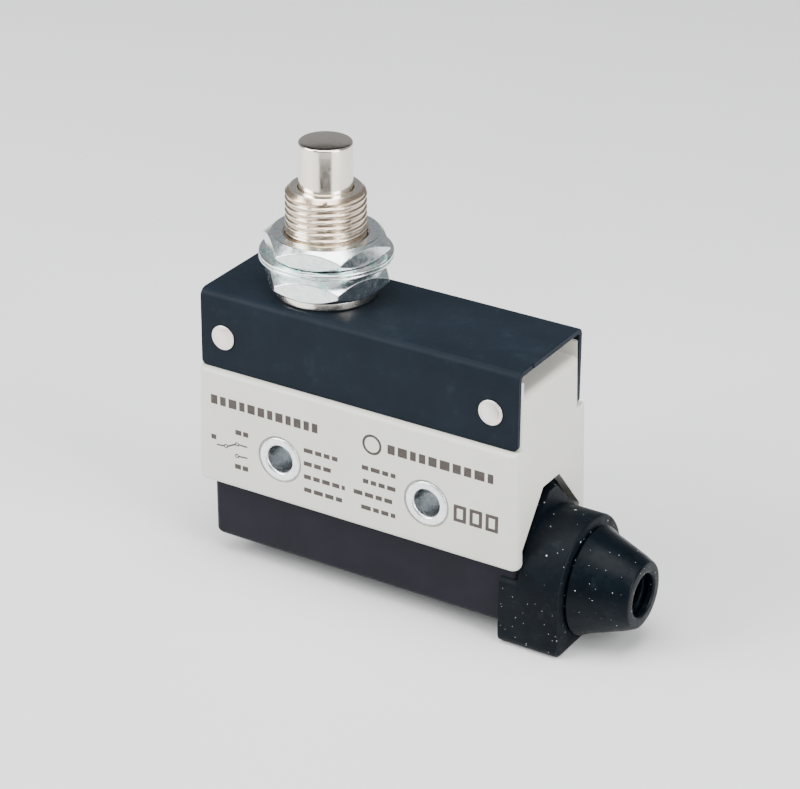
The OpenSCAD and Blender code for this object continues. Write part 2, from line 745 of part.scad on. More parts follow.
module cable_nozzle() {
    br = nozzle_bore_d / 2;
    gr = br + 0.45;
    tip_a = atan((nozzle_base_r - nozzle_tip_r) / (nozzle_x1 - boot_x1));
    function rib_x(i) = nozzle_x1 - 1 - nozzle_rib_pitch * i;
    ribs = [for (i = [0 : nozzle_rib_count - 1]) let (x = rib_x(i))
        each [[br, x], [gr, x - 0.1], [gr, x - nozzle_groove], [br, x - nozzle_groove - 0.1]]];
    color([0.09, 0.10, 0.11]) translate([0, 0, cable_z]) rotate([0, 90, 0]) rotate_extrude()
        polygon(concat(
            [[br, nozzle_spigot_x], [nozzle_spigot_d / 2, nozzle_spigot_x],
                [nozzle_spigot_d / 2, boot_x1 + 0.05], [nozzle_base_r - 0.2, boot_x1 + 0.05],
                [nozzle_base_r, boot_x1 + 0.25]],
            arc(nozzle_tip_r - nozzle_edge_r, nozzle_x1 - nozzle_edge_r, nozzle_edge_r, tip_a, 90, 6),
            [[br + 0.25, nozzle_x1], [br, nozzle_x1 - 0.25]],
            ribs
        ));
}

housing();
top_cover();
rivet_left();
rivet_right();
eyelet_left();
eyelet_right();
bushing();
bushing_lock_ring();
plunger();
plunger_spring();
plunger_oring();
actuator_pin();
pin_guide();
upper_nut();
upper_washer();
lower_washer();
lower_nut();
switch_base();
switch_lid();
lid_rivets();
push_button();
button_seal();
moving_blade();
moving_contact();
nc_contact();
no_contact();
com_terminal();
nc_terminal();
no_terminal();
com_screw();
nc_screw();
no_screw();
com_clamp();
nc_clamp();
no_clamp();
terminal_cover();
cover_gasket();
cover_screw_left();
cover_screw_right();
cable_boot();
cable_nozzle();
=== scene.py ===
"""Looks of an enclosed limit switch with a panel-mount plunger and a rubber cable boot.

Lengths are in millimetres until a mesh is made, which scales them to metres.
+X runs towards the cable nozzle, -Y is the marked front face and +Z is up.
"""

import math
import random

import bmesh
import bpy
from mathutils import Matrix, Vector


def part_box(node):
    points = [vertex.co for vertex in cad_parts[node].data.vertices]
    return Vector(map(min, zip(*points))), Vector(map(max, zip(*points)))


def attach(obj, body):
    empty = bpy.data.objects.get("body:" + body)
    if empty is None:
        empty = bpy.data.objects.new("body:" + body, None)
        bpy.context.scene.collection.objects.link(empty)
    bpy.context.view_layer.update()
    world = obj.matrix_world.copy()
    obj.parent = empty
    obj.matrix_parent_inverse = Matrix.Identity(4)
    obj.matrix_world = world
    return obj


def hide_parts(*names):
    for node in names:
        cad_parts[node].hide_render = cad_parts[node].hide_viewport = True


MM = 0.001
SMOOTH_ANGLE = math.radians(32)
MERGE_DISTANCE = 0.0005

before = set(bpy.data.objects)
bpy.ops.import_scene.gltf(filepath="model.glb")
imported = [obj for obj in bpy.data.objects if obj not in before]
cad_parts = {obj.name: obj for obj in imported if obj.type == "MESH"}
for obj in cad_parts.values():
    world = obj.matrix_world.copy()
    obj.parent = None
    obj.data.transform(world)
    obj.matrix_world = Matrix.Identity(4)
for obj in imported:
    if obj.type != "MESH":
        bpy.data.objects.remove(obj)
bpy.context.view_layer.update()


# ------------------------------------------------------------------ places read from the frame

def box_mm(node):
    """Lowest and highest corners of a CAD node, in millimetres."""
    low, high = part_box(node)
    return Vector(low) / MM, Vector(high) / MM


HOUSING_LO, HOUSING_HI = box_mm("housing")
COVER_LO, COVER_HI = box_mm("top_cover")
TRAY_LO, TRAY_HI = box_mm("terminal_cover")
BOOT_LO, BOOT_HI = box_mm("cable_boot")
NOZZLE_LO, NOZZLE_HI = box_mm("cable_nozzle")
BUSH_LO, BUSH_HI = box_mm("bushing")
PLUNGER_LO, PLUNGER_HI = box_mm("plunger")
BUSH_X = (BUSH_LO.x + BUSH_HI.x) / 2
CABLE_Z = (NOZZLE_LO.z + NOZZLE_HI.z) / 2
HALF_L = HOUSING_HI.x
END_DRAFT = 0.03
HALF_T = HOUSING_HI.y
LEDGE_Z = COVER_LO.z - 0.05
SHEET_T = COVER_HI.z - HOUSING_HI.z - 0.1
NECK_T = COVER_HI.y - SHEET_T - 0.05
FLOOR_Z = BOOT_LO.z


# ------------------------------------------------------------------ mesh helpers

def arc(cx, cy, radius, start, end, steps):
    """Points of an arc, with angles in degrees."""
    angles = [math.radians(start + (end - start) * i / steps) for i in range(steps + 1)]
    return [(cx + radius * math.cos(a), cy + radius * math.sin(a)) for a in angles]


def round_rect(x0, y0, x1, y1, radius, steps=6):
    """Counter-clockwise rectangle with rounded corners."""
    r = max(radius, 0.01)
    corners = ((x1 - r, y1 - r, 0), (x0 + r, y1 - r, 90), (x0 + r, y0 + r, 180), (x1 - r, y0 + r, 270))
    return [p for cx, cy, a in corners for p in arc(cx, cy, r, a, a + 90, steps)]


def finish_mesh(mesh):
    """Smooths the faces and keeps the edges sharper than SMOOTH_ANGLE."""
    bm = bmesh.new()
    bm.from_mesh(mesh)
    bmesh.ops.recalc_face_normals(bm, faces=bm.faces)
    for face in bm.faces:
        face.smooth = True
    for edge in bm.edges:
        edge.smooth = len(edge.link_faces) == 2 and edge.calc_face_angle(0) < SMOOTH_ANGLE
    bm.to_mesh(mesh)
    bm.free()


def make_object(name, vertices, faces):
    """A new mesh object from vertices in millimetres."""
    mesh = bpy.data.meshes.new(name)
    mesh.from_pydata([Vector(v) * MM for v in vertices], [], faces)
    mesh.validate()
    finish_mesh(mesh)
    obj = bpy.data.objects.new(name, mesh)
    bpy.context.scene.collection.objects.link(obj)
    return obj


def loft(name, loops):
    """Skins loops of equal length and caps both ends."""
    count = len(loops[0])
    vertices = [v for loop in loops for v in loop]
    faces = []
    for row in range(len(loops) - 1):
        a, b = row * count, (row + 1) * count
        for k in range(count):
            n = (k + 1) % count
            faces.append((a + k, a + n, b + n, b + k))
    faces.append(tuple(reversed(range(count))))
    faces.append(tuple((len(loops) - 1) * count + k for k in range(count)))
    return make_object(name, vertices, faces)


def lathe(name, profile, centre, axis="z", segments=96, close=True):
    """Turns a profile of (radius, height) points about an axis through centre."""
    loops = []
    for i in range(segments):
        a = 2 * math.pi * i / segments
        loop = []
        for r, h in profile:
            p = {"z": (r * math.cos(a), r * math.sin(a), h),
                 "y": (r * math.cos(a), h, r * math.sin(a)),
                 "x": (h, r * math.cos(a), r * math.sin(a))}[axis]
            loop.append(Vector(p) + Vector(centre))
        loops.append(loop)
    count = len(profile)
    vertices = [v for loop in loops for v in loop]
    faces = []
    for i in range(segments):
        a, b = i * count, (i + 1) % segments * count
        for k in range(count if close else count - 1):
            n = (k + 1) % count
            faces.append((a + k, b + k, b + n, a + n))
    obj = make_object(name, vertices, faces)
    merge_close(obj)
    return obj


def merge_close(obj):
    """Joins vertices that coincide, such as those on a lathe's axis."""
    bm = bmesh.new()
    bm.from_mesh(obj.data)
    bmesh.ops.remove_doubles(bm, verts=bm.verts, dist=MERGE_DISTANCE * MM)
    bmesh.ops.dissolve_degenerate(bm, edges=bm.edges, dist=MERGE_DISTANCE * MM)
    bm.to_mesh(obj.data)
    bm.free()
    finish_mesh(obj.data)


def extrude(name, outline, axis, start, end):
    """Extrudes a closed outline. axis x takes (y, z) points, y takes (x, z), z takes (x, y)."""
    place = {"x": lambda u, v, h: (h, u, v),
             "y": lambda u, v, h: (u, h, v),
             "z": lambda u, v, h: (u, v, h)}[axis]
    return loft(name, [[place(u, v, h) for u, v in outline] for h in (start, end)])


def block(name, low, high):
    """A plain cutting block."""
    return extrude(name, [(low[0], low[1]), (high[0], low[1]), (high[0], high[1]), (low[0], high[1])],
                   "z", low[2], high[2])


def rod(name, axis, centre, radius, start, end, segments=64):
    """A round cutting tool along an axis."""
    circle = [(centre[0] + radius * math.cos(2 * math.pi * i / segments),
               centre[1] + radius * math.sin(2 * math.pi * i / segments)) for i in range(segments)]
    return extrude(name, circle, axis, start, end)


def apply_modifiers(obj):
    """Bakes an object's modifiers into its mesh."""
    graph = bpy.context.evaluated_depsgraph_get()
    mesh = bpy.data.meshes.new_from_object(obj.evaluated_get(graph))
    obj.modifiers.clear()
    obj.data = mesh
    obj.data.name = obj.name


def boolean(obj, tools, operation="DIFFERENCE"):
    """Cuts tools out of an object, or adds them to it, and removes the tools."""
    for tool in tools:
        modifier = obj.modifiers.new("cut", "BOOLEAN")
        modifier.operation = operation
        modifier.solver = "EXACT"
        modifier.object = tool
        apply_modifiers(obj)
        bpy.data.objects.remove(tool)
    finish_mesh(obj.data)


def soften(obj, width, segments=2, angle=35):
    """Rounds the sharp edges, as moulding or plating does."""
    modifier = obj.modifiers.new("edges", "BEVEL")
    modifier.width = width * MM
    modifier.segments = segments
    modifier.limit_method = "ANGLE"
    modifier.angle_limit = math.radians(angle)
    modifier.miter_outer = "MITER_ARC"
    modifier.use_clamp_overlap = True
    modifier.harden_normals = True
    apply_modifiers(obj)


# ------------------------------------------------------------------ material helpers

class Shader:
    """A principled material with a few shortcuts for wiring its nodes."""

    def __init__(self, name, color, roughness, metallic=0.0):
        self.material = bpy.data.materials.new(name)
        self.material.use_nodes = True
        self.nodes = self.material.node_tree.nodes
        self.links = self.material.node_tree.links
        self.bsdf = self.nodes["Principled BSDF"]
        self.bsdf.inputs["Base Color"].default_value = (*color, 1)
        self.bsdf.inputs["Roughness"].default_value = roughness
        self.bsdf.inputs["Metallic"].default_value = metallic
        self.place = self.nodes.new("ShaderNodeTexCoord").outputs["Object"]
        self.height = None

    def node(self, kind, **values):
        made = self.nodes.new(kind)
        for key, value in values.items():
            setattr(made, key, value)
        return made

    def stretched(self, scale):
        """The object's coordinates, scaled differently along each axis."""
        mapping = self.node("ShaderNodeMapping")
        mapping.inputs["Scale"].default_value = scale
        self.links.new(self.place, mapping.inputs["Vector"])
        return mapping.outputs["Vector"]

    def noise(self, size_mm, detail=3.0, rough=0.55, vector=None, distortion=0.0):
        """Noise from 0 to 1 whose features are about size_mm across."""
        made = self.node("ShaderNodeTexNoise")
        made.inputs["Scale"].default_value = 1 / (size_mm * MM)
        made.inputs["Detail"].default_value = detail
        made.inputs["Roughness"].default_value = rough
        made.inputs["Distortion"].default_value = distortion
        self.links.new(vector or self.place, made.inputs["Vector"])
        return made.outputs["Fac"]

    def ramp(self, factor, low, high, low_value=0.0, high_value=1.0):
        """Maps factor from low..high to low_value..high_value, held at both ends."""
        made = self.node("ShaderNodeMapRange", clamp=True)
        ends = {"From Min": low, "From Max": high, "To Min": low_value, "To Max": high_value}
        for key, value in ends.items():
            made.inputs[key].default_value = value
        self.links.new(factor, made.inputs["Value"])
        return made.outputs["Result"]

    def math(self, operation, a, b):
        made = self.node("ShaderNodeMath", operation=operation)
        for socket, value in zip(made.inputs, (a, b)):
            if isinstance(value, (int, float)):
                socket.default_value = value
            else:
                self.links.new(value, socket)
        return made.outputs["Value"]

    def mix(self, factor, color_a, color_b):
        """Mixes two colours, which are tuples or sockets."""
        made = self.node("ShaderNodeMix", data_type="RGBA")
        for socket, value in ((made.inputs[6], color_a), (made.inputs[7], color_b)):
            if isinstance(value, tuple):
                socket.default_value = (*value, 1)
            else:
                self.links.new(value, socket)
        self.links.new(factor, made.inputs[0])
        return made.outputs[2]

    def specks(self, cell_mm, size_mm, share):
        """1 on sparse round specks and 0 elsewhere. share is the part of the cells that hold one."""
        made = self.node("ShaderNodeTexVoronoi")
        made.inputs["Scale"].default_value = 1 / (cell_mm * MM)
        warped = self.warp(cell_mm * 0.6, 0.35 * size_mm)
        self.links.new(warped, made.inputs["Vector"])
        split = self.node("ShaderNodeSeparateColor")
        self.links.new(made.outputs["Color"], split.inputs["Color"])
        chosen = self.math("LESS_THAN", split.outputs["Red"], share)
        radius = self.math("MULTIPLY", split.outputs["Green"], size_mm / cell_mm)
        near = self.math("LESS_THAN", made.outputs["Distance"], radius)
        return self.math("MULTIPLY", near, chosen)

    def warp(self, size_mm, amount_mm):
        """The object's coordinates, shaken so that round shapes become uneven."""
        made = self.node("ShaderNodeTexNoise")
        made.inputs["Scale"].default_value = 1 / (size_mm * 0.3 * MM)
        self.links.new(self.place, made.inputs["Vector"])
        shift = self.node("ShaderNodeVectorMath", operation="SCALE")
        shift.inputs["Scale"].default_value = amount_mm * MM
        self.links.new(made.outputs["Color"], shift.inputs[0])
        total = self.node("ShaderNodeVectorMath", operation="ADD")
        self.links.new(self.place, total.inputs[0])
        self.links.new(shift.outputs["Vector"], total.inputs[1])
        return total.outputs["Vector"]

    def color(self, socket):
        self.links.new(socket, self.bsdf.inputs["Base Color"])

    def roughness(self, socket):
        self.links.new(socket, self.bsdf.inputs["Roughness"])

    def bump(self, height, depth_mm):
        """Adds a layer of relief. depth_mm is the height of a full step."""
        made = self.node("ShaderNodeBump")
        made.inputs["Strength"].default_value = 1.0
        made.inputs["Distance"].default_value = depth_mm * MM
        self.links.new(height, made.inputs["Height"])
        if self.height:
            self.links.new(self.height, made.inputs["Normal"])
        self.height = made.outputs["Normal"]
        self.links.new(self.height, self.bsdf.inputs["Normal"])

    def set(self, **values):
        for key, value in values.items():
            self.bsdf.inputs[key.replace("_", " ")].default_value = value


# ------------------------------------------------------------------ materials

def light_plastic():
    """Warm light grey moulded housing: fine texture, faint handling marks."""
    s = Shader("housing_plastic", (0.64, 0.63, 0.575), 0.46)
    broad = s.noise(14, 4, 0.6)
    tone = s.mix(s.ramp(broad, 0.3, 0.7), (0.62, 0.61, 0.55), (0.66, 0.655, 0.60))
    stain = s.ramp(s.noise(3.2, 5, 0.65, distortion=0.6), 0.66, 0.80, 0.0, 0.35)
    s.color(s.mix(stain, tone, (0.60, 0.52, 0.41)))
    s.roughness(s.ramp(s.noise(5, 4), 0.3, 0.7, 0.42, 0.53))
    s.bump(s.noise(0.22, 2), 0.006)
    s.bump(s.noise(6, 2), 0.03)
    s.set(Subsurface_Weight=0.08, Subsurface_Radius=(0.0012, 0.001, 0.0008), Subsurface_Scale=1.0)
    return s.material


def black_paint():
    """Satin blue-black paint on bent sheet, with dust."""
    s = Shader("cover_paint", (0.009, 0.013, 0.018), 0.42)
    tone = s.mix(s.ramp(s.noise(9, 5, 0.65), 0.35, 0.65), (0.008, 0.012, 0.017), (0.010, 0.015, 0.022))
    dust = s.specks(1.9, 0.09, 0.20)
    haze = s.ramp(s.noise(4.5, 6, 0.7), 0.58, 0.80, 0.0, 0.05)
    dusty = s.mix(haze, tone, (0.14, 0.16, 0.18))
    s.color(s.mix(dust, dusty, (0.30, 0.31, 0.33)))
    s.roughness(s.ramp(s.noise(2.2, 6, 0.7), 0.3, 0.75, 0.34, 0.50))
    s.set(Specular_IOR_Level=0.05)
    s.bump(s.noise(0.35, 2), 0.004)
    s.bump(s.noise(5.5, 2), 0.02)
    return s.material


def dark_plastic():
    """Smooth dark grey moulding of the terminal cover."""
    s = Shader("tray_plastic", (0.019, 0.019, 0.025), 0.42)
    tone = s.mix(s.ramp(s.noise(8, 4), 0.35, 0.65), (0.012, 0.012, 0.016), (0.014, 0.014, 0.020))
    s.color(s.mix(s.specks(2.6, 0.08, 0.12), tone, (0.30, 0.30, 0.31)))
    s.set(Specular_IOR_Level=0.06)
    s.roughness(s.ramp(s.noise(1.6, 5, 0.6), 0.3, 0.7, 0.38, 0.50))
    s.bump(s.noise(0.20, 2), 0.004)
    s.bump(s.noise(5, 2), 0.02)
    return s.material


def black_rubber(name, roughness, dust_share):
    """Matt black rubber with pale dust and lint."""
    s = Shader(name, (0.010, 0.012, 0.015), roughness)
    tone = s.mix(s.ramp(s.noise(4, 5, 0.65), 0.35, 0.7), (0.0015, 0.003, 0.005), (0.003, 0.006, 0.009))
    film = s.ramp(s.noise(2.4, 6, 0.75, distortion=0.5), 0.56, 0.78, 0.0, 0.14)
    filmed = s.mix(film, tone, (0.06, 0.075, 0.09))
    fine = s.specks(0.60, 0.085, dust_share)
    coarse = s.specks(1.7, 0.17, dust_share)
    s.color(s.mix(s.math("MAXIMUM", fine, coarse), filmed, (0.50, 0.52, 0.54)))
    s.roughness(s.ramp(s.noise(1.1, 5), 0.3, 0.7, roughness - 0.07, roughness + 0.10))
    s.bump(s.noise(0.28, 3), 0.008)
    s.bump(s.noise(3.2, 2), 0.03)
    s.set(Specular_IOR_Level=0.08)
    return s.material


def nickel(name, color, roughness, turning_mm=0.0, grain_mm=0.0022):
    """Bright nickel plating, with fine pits and, on turned parts, tool marks."""
    s = Shader(name, color, roughness, 1.0)
    darker = tuple(c * 0.90 for c in color)
    warmer = (color[0], color[1] * 0.975, color[2] * 0.93)
    tone = s.mix(s.ramp(s.noise(2.4, 4), 0.35, 0.65), warmer, color)
    s.color(s.mix(s.ramp(s.noise(0.5, 4, 0.7), 0.60, 0.75, 0.0, 0.6), tone, darker))
    s.roughness(s.ramp(s.noise(0.9, 5, 0.7), 0.3, 0.75, roughness * 0.8, roughness * 1.45))
    s.bump(s.noise(0.16, 3, 0.6), grain_mm)
    s.bump(s.noise(1.4, 2), 0.006)
    if turning_mm:
        lines = s.noise(turning_mm, 2, 0.5, s.stretched((0.02, 0.02, 1.0)))
        s.bump(lines, 0.0012)
    return s.material


def thread_nickel():
    """Nickel on the turned bushing: tan in the thread's roots as painted shade, near white on the crests as
    a painted highlight.
    """
    s = Shader("bushing_nickel", (0.66, 0.53, 0.40), 0.22, 1.0)
    centre = s.node("ShaderNodeVectorMath", operation="SUBTRACT")
    s.links.new(s.place, centre.inputs[0])
    centre.inputs[1].default_value = (BUSH_X * MM, 0, 0)
    flat = s.node("ShaderNodeVectorMath", operation="MULTIPLY")
    s.links.new(centre.outputs["Vector"], flat.inputs[0])
    flat.inputs[1].default_value = (1, 1, 0)
    length = s.node("ShaderNodeVectorMath", operation="LENGTH")
    s.links.new(flat.outputs["Vector"], length.inputs[0])
    radius = length.outputs["Value"]
    # Tan with random tone: painted shade for the thread's roots and flanks.
    film = s.mix(s.ramp(s.noise(1.8, 4), 0.35, 0.65), (0.60, 0.47, 0.345), (0.68, 0.55, 0.42))
    # Near white by radius: a painted highlight on the crests; the flange, top face and bore take the same
    # bright nickel.
    crest_highlight = s.ramp(radius, 5.93 * MM, 5.995 * MM)
    bright_and_highlight_mask = s.math("MAXIMUM", crest_highlight, s.ramp(radius, 5.45 * MM, 5.25 * MM))
    s.color(s.mix(bright_and_highlight_mask, film, (0.93, 0.87, 0.79)))
    s.roughness(s.ramp(s.noise(0.9, 4), 0.3, 0.75, 0.18, 0.30))
    s.bump(s.noise(0.3, 2), 0.0015)
    return s.material


def blue_zinc(name, tint):
    """Bright zinc plating with the faint green, blue and pink film that passivation leaves."""
    s = Shader(name, (0.82, 0.86, 0.87), 0.20, 1.0)
    film = s.noise(2.2, 3, 0.6, distortion=1.2)
    cool = s.mix(s.ramp(film, 0.35, 0.52), tint, (0.93, 0.955, 0.96))
    s.color(s.mix(s.ramp(film, 0.56, 0.68), cool, (0.84, 0.80, 0.85)))
    s.roughness(s.ramp(s.noise(0.8, 5, 0.65), 0.3, 0.7, 0.14, 0.30))
    s.bump(s.noise(0.25, 3, 0.6), 0.003)
    s.bump(s.noise(1.6, 3), 0.016)
    return s.material


def tinned_metal():
    """Bright tinned eyelet with press marks and scuffs."""
    s = Shader("eyelet_tin", (0.86, 0.87, 0.88), 0.26, 1.0)
    split = s.node("ShaderNodeSeparateXYZ")
    s.links.new(s.place, split.inputs["Vector"])
    depth = s.math("ABSOLUTE", split.outputs["Y"], 0)
    flange = s.ramp(depth, (HALF_T - 1.1) * MM, (HALF_T - 0.45) * MM)
    bright = s.mix(s.ramp(s.noise(0.7, 5, 0.7), 0.45, 0.7), (0.92, 0.93, 0.94), (0.66, 0.69, 0.72))
    tarnish = s.mix(s.ramp(s.noise(1.1, 4), 0.4, 0.7), (0.80, 0.84, 0.86), (0.90, 0.92, 0.94))
    s.color(s.mix(flange, tarnish, bright))
    s.roughness(s.ramp(s.noise(0.6, 5, 0.7), 0.3, 0.7, 0.18, 0.42))
    s.bump(s.noise(0.3, 3, 0.6), 0.010)
    return s.material


def printing():
    """Brown-grey laser marking."""
    s = Shader("marking", (0.16, 0.135, 0.115), 0.65)
    s.color(s.mix(s.ramp(s.noise(0.35, 4, 0.7), 0.35, 0.7), (0.035, 0.027, 0.022), (0.065, 0.052, 0.045)))
    s.bump(s.noise(0.12, 2), 0.004)
    return s.material


def plain_metal(name, color, roughness):
    """Metal of an inner piece: drawn or stamped, slightly uneven."""
    s = Shader(name, color, roughness, 1.0)
    dull = tuple(c * 0.72 for c in color)
    s.color(s.mix(s.ramp(s.noise(1.2, 5, 0.7), 0.45, 0.75), color, dull))
    s.roughness(s.ramp(s.noise(0.7, 4), 0.3, 0.7, roughness * 0.8, roughness * 1.5))
    s.bump(s.noise(0.2, 3), 0.004)
    s.bump(s.noise(0.15, 2, 0.5, s.stretched((0.05, 1.0, 1.0))), 0.002)
    return s.material


def plain_plastic(name, color, roughness, depth_mm=0.005):
    """Moulding of an inner piece."""
    s = Shader(name, color, roughness)
    darker = tuple(c * 0.82 for c in color)
    s.color(s.mix(s.ramp(s.noise(3, 5, 0.6), 0.35, 0.7), color, darker))
    s.roughness(s.ramp(s.noise(1.2, 4), 0.3, 0.7, roughness - 0.05, roughness + 0.09))
    s.bump(s.noise(0.25, 3), depth_mm)
    return s.material


def floor_surface():
    """Pale studio floor."""
    s = Shader("studio_floor", (0.80, 0.80, 0.80), 0.60)
    s.color(s.mix(s.ramp(s.noise(60, 3), 0.3, 0.7), (0.79, 0.79, 0.79), (0.81, 0.81, 0.81)))
    return s.material


def flag_cloth():
    """Dead black cloth of the studio's flags."""
    s = Shader("flag_cloth", (0.004, 0.004, 0.004), 1.0)
    s.color(s.mix(s.noise(3, 2), (0.003, 0.003, 0.003), (0.005, 0.005, 0.005)))
    s.set(Specular_IOR_Level=0.0)
    return s.material


MATERIALS = {
    "flag": flag_cloth(),
    "housing": light_plastic(),
    "paint": black_paint(),
    "tray": dark_plastic(),
    "boot": black_rubber("boot_rubber", 0.46, 0.42),
    "nozzle": black_rubber("nozzle_rubber", 0.32, 0.36),
    "plunger": nickel("plunger_nickel", (0.90, 0.83, 0.74), 0.17, turning_mm=0.05, grain_mm=0.007),
    "bushing": thread_nickel(),
    "rivet": nickel("rivet_nickel", (0.86, 0.82, 0.77), 0.34),
    "zinc": blue_zinc("zinc_plate", (0.70, 0.85, 0.83)),
    "washer": blue_zinc("washer_zinc", (0.46, 0.78, 0.70)),
    "eyelet": tinned_metal(),
    "marking": printing(),
    "brass": plain_metal("terminal_brass", (0.72, 0.52, 0.24), 0.30),
    "steel": plain_metal("inner_steel", (0.58, 0.58, 0.60), 0.30),
    "silver": plain_metal("contact_silver", (0.86, 0.86, 0.84), 0.24),
    "phenolic": plain_plastic("switch_phenolic", (0.10, 0.026, 0.018), 0.42),
    "button": plain_plastic("button_red", (0.40, 0.03, 0.02), 0.32),
    "nylon": plain_plastic("guide_nylon", (0.72, 0.70, 0.62), 0.45),
    "seal": plain_plastic("seal_rubber", (0.012, 0.012, 0.013), 0.58, 0.010),
}


def give_material(obj, key):
    obj.data.materials.clear()
    obj.data.materials.append(MATERIALS[key])


def add_piece(obj, material, body, slot, *nodes):
    """Gives a piece its material, its body, and the CAD nodes that it stands for. slot is not used."""
    give_material(obj, material)
    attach(obj, body)
    if nodes:
        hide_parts(*nodes)
    return obj


# ------------------------------------------------------------------ housing

FRONT_CORNER = 1.3
BACK_CORNER = 0.5
LEDGE_FILLET = 0.7
FOOT_FILLET = 0.9
NECK_CORNER = 0.9
SHELF_Z = 19.8
SHELF_R = 1.1
POCKET_X = 21.0
CHEEK_T = 0.5
CHEEK_Z = 22.2
END_WALL = 1.3
SIDE_WALL = 1.15
HOLE_X = 12.7
RIVET_HOLE_R = 1.3
BUSH_SEAT_R = 7.85
EYELET_HOLE_R = 2.65
EYELET_SEAT_R = 3.8
EYELET_SEAT_DEPTH = 0.4


def end_x(z):
    """Outer face of the end walls, which lean inwards as they rise."""
    return HALF_L - END_DRAFT * (z - HOUSING_LO.z)


def plan_outline(half_x, half_y, front_r, back_r, z):
    """Outline of the housing at height z, with its own radius at the front and back corners."""
    corners = ((half_x, half_y, 0, back_r), (-half_x, half_y, 90, back_r),
               (-half_x, -half_y, 180, front_r), (half_x, -half_y, 270, front_r))
    points = []
    for x, y, angle, radius in corners:
        cx, cy = x - math.copysign(radius, x), y - math.copysign(radius, y)
        points += [(u, v, z) for u, v in arc(cx, cy, radius, angle, angle + 90, 6)]
    return points


def housing_loops():
    """Outlines of the housing from its foot to its top."""
    loops = []
    steps = 5
    for i in range(steps + 1):
        a = math.radians(90 * i / steps)
        inset = FOOT_FILLET * (1 - math.sin(a))
        z = HOUSING_LO.z + FOOT_FILLET * (1 - math.cos(a))
        back_r = max(BACK_CORNER - inset, 0.05)
        loops.append(plan_outline(end_x(z) - inset, HALF_T - inset, FRONT_CORNER - inset, back_r, z))
    for i in range(steps + 1):
        a = math.radians(90 * i / steps)
        z = LEDGE_Z - LEDGE_FILLET * (1 - math.sin(a))
        inset = LEDGE_FILLET * (1 - math.cos(a))
        loops.append(plan_outline(end_x(z), HALF_T - inset, FRONT_CORNER, BACK_CORNER, z))
    for grow, z in ((0.12, LEDGE_Z), (0, LEDGE_Z + 0.12), (0, SHELF_Z - SHELF_R), (0, HOUSING_HI.z)):
        corner = NECK_CORNER + grow
        loops.append(plan_outline(end_x(z), NECK_T + grow, corner, corner, z))
    return loops


def pocket_cutters(end):
    """Tools for one end's pocket: a shelf with a rounded edge between two low cheeks."""
    edge_z = SHELF_Z - SHELF_R
    edge_x = end_x(edge_z) + 0.02
    above = HOUSING_HI.z + 2
    outline = [(POCKET_X, SHELF_Z)] + arc(edge_x - SHELF_R, edge_z, SHELF_R, 90, 0, 8)
    outline += [(HALF_L + 2, edge_z), (HALF_L + 2, above), (POCKET_X, above)]
    outline = [(end * x, z) for x, z in outline]
    hollow = extrude("cut", outline, "y", CHEEK_T - NECK_T, NECK_T - CHEEK_T)
    low, high = sorted((end * POCKET_X, end * (HALF_L + 2)))
    top = block("cut", (low, -HALF_T, CHEEK_Z), (high, HALF_T, above))
    return [hollow, top]


# The cable opening in the end wall: a flat top, two slopes, then straight sides
OPEN_TOP_Z = 3.35
OPEN_TOP_HALF = 2.4
OPEN_SLOPE_Z = -4.2
OPEN_SIDE_HALF = 8.6


def entry_outline(shrink, low_z):
    side, top = OPEN_SIDE_HALF - shrink, OPEN_TOP_HALF - shrink
    return [(-side, low_z), (side, low_z), (side, OPEN_SLOPE_Z), (top, OPEN_TOP_Z - shrink),
            (-top, OPEN_TOP_Z - shrink), (-side, OPEN_SLOPE_Z)]


def eyelet_cutter(x):
    """Through hole with a round seat for the eyelet's flange at each end."""
    front, back = EYELET_SEAT_DEPTH - HALF_T, HALF_T - 2 * EYELET_SEAT_DEPTH
    outer = HALF_T + 1
    profile = [(0.001, -outer), (EYELET_SEAT_R, -outer), (EYELET_SEAT_R, front), (EYELET_HOLE_R, front)]
    profile += [(EYELET_HOLE_R, back), (EYELET_SEAT_R, back), (EYELET_SEAT_R, outer), (0.001, outer)]
    return lathe("cut", profile, (x, 0, 0), "y", 72, close=False)


def build_housing():
    obj = loft("housing_shell", housing_loops())
    inner_x = end_x(LEDGE_Z) - END_WALL
    inner_y = HALF_T - SIDE_WALL
    neck_y = NECK_T - 1.1
    deep_x = POCKET_X - END_WALL
    tools = pocket_cutters(-1) + pocket_cutters(1)
    tools.append(block("cut", (-inner_x, -inner_y, HOUSING_LO.z - 2), (inner_x, inner_y, LEDGE_Z - 0.7)))
    tools.append(block("cut", (0.8 - inner_x, -neck_y, LEDGE_Z - 1),
                       (inner_x - 0.8, neck_y, SHELF_Z - END_WALL)))
    tools.append(block("cut", (-deep_x, -neck_y, LEDGE_Z - 1), (deep_x, neck_y, HOUSING_HI.z - END_WALL)))
    tools.append(extrude("cut", entry_outline(0, HOUSING_LO.z - 3), "x", inner_x - 1, HALF_L + 2))
    for x in (-HOLE_X, HOLE_X):
        tools.append(eyelet_cutter(x))
    for node in ("rivet_left", "rivet_right"):
        low, high = box_mm(node)
        centre = (low + high) / 2
        tools.append(rod("cut", "y", (centre.x, centre.z), RIVET_HOLE_R, -HALF_T - 1, HALF_T + 1, 32))
    tools.append(rod("cut", "z", (BUSH_X, 0), BUSH_SEAT_R, HOUSING_HI.z - 2, HOUSING_HI.z + 1, 64))
    boolean(obj, tools)
    soften(obj, 0.12)
    return add_piece(obj, "housing", "switch_body", "housing_plastic", "housing")


# ------------------------------------------------------------------ marking on the front face

MARK_LIFT = 0.012
MARK_SINK = 0.05


def mark_vertices(outline):
    """Front and back points of a flat mark on the front face."""
    front = [(x, -HALF_T - MARK_LIFT, z) for x, z in outline]
    back = [(x, -HALF_T + MARK_SINK, z) for x, z in outline]
    return front + back


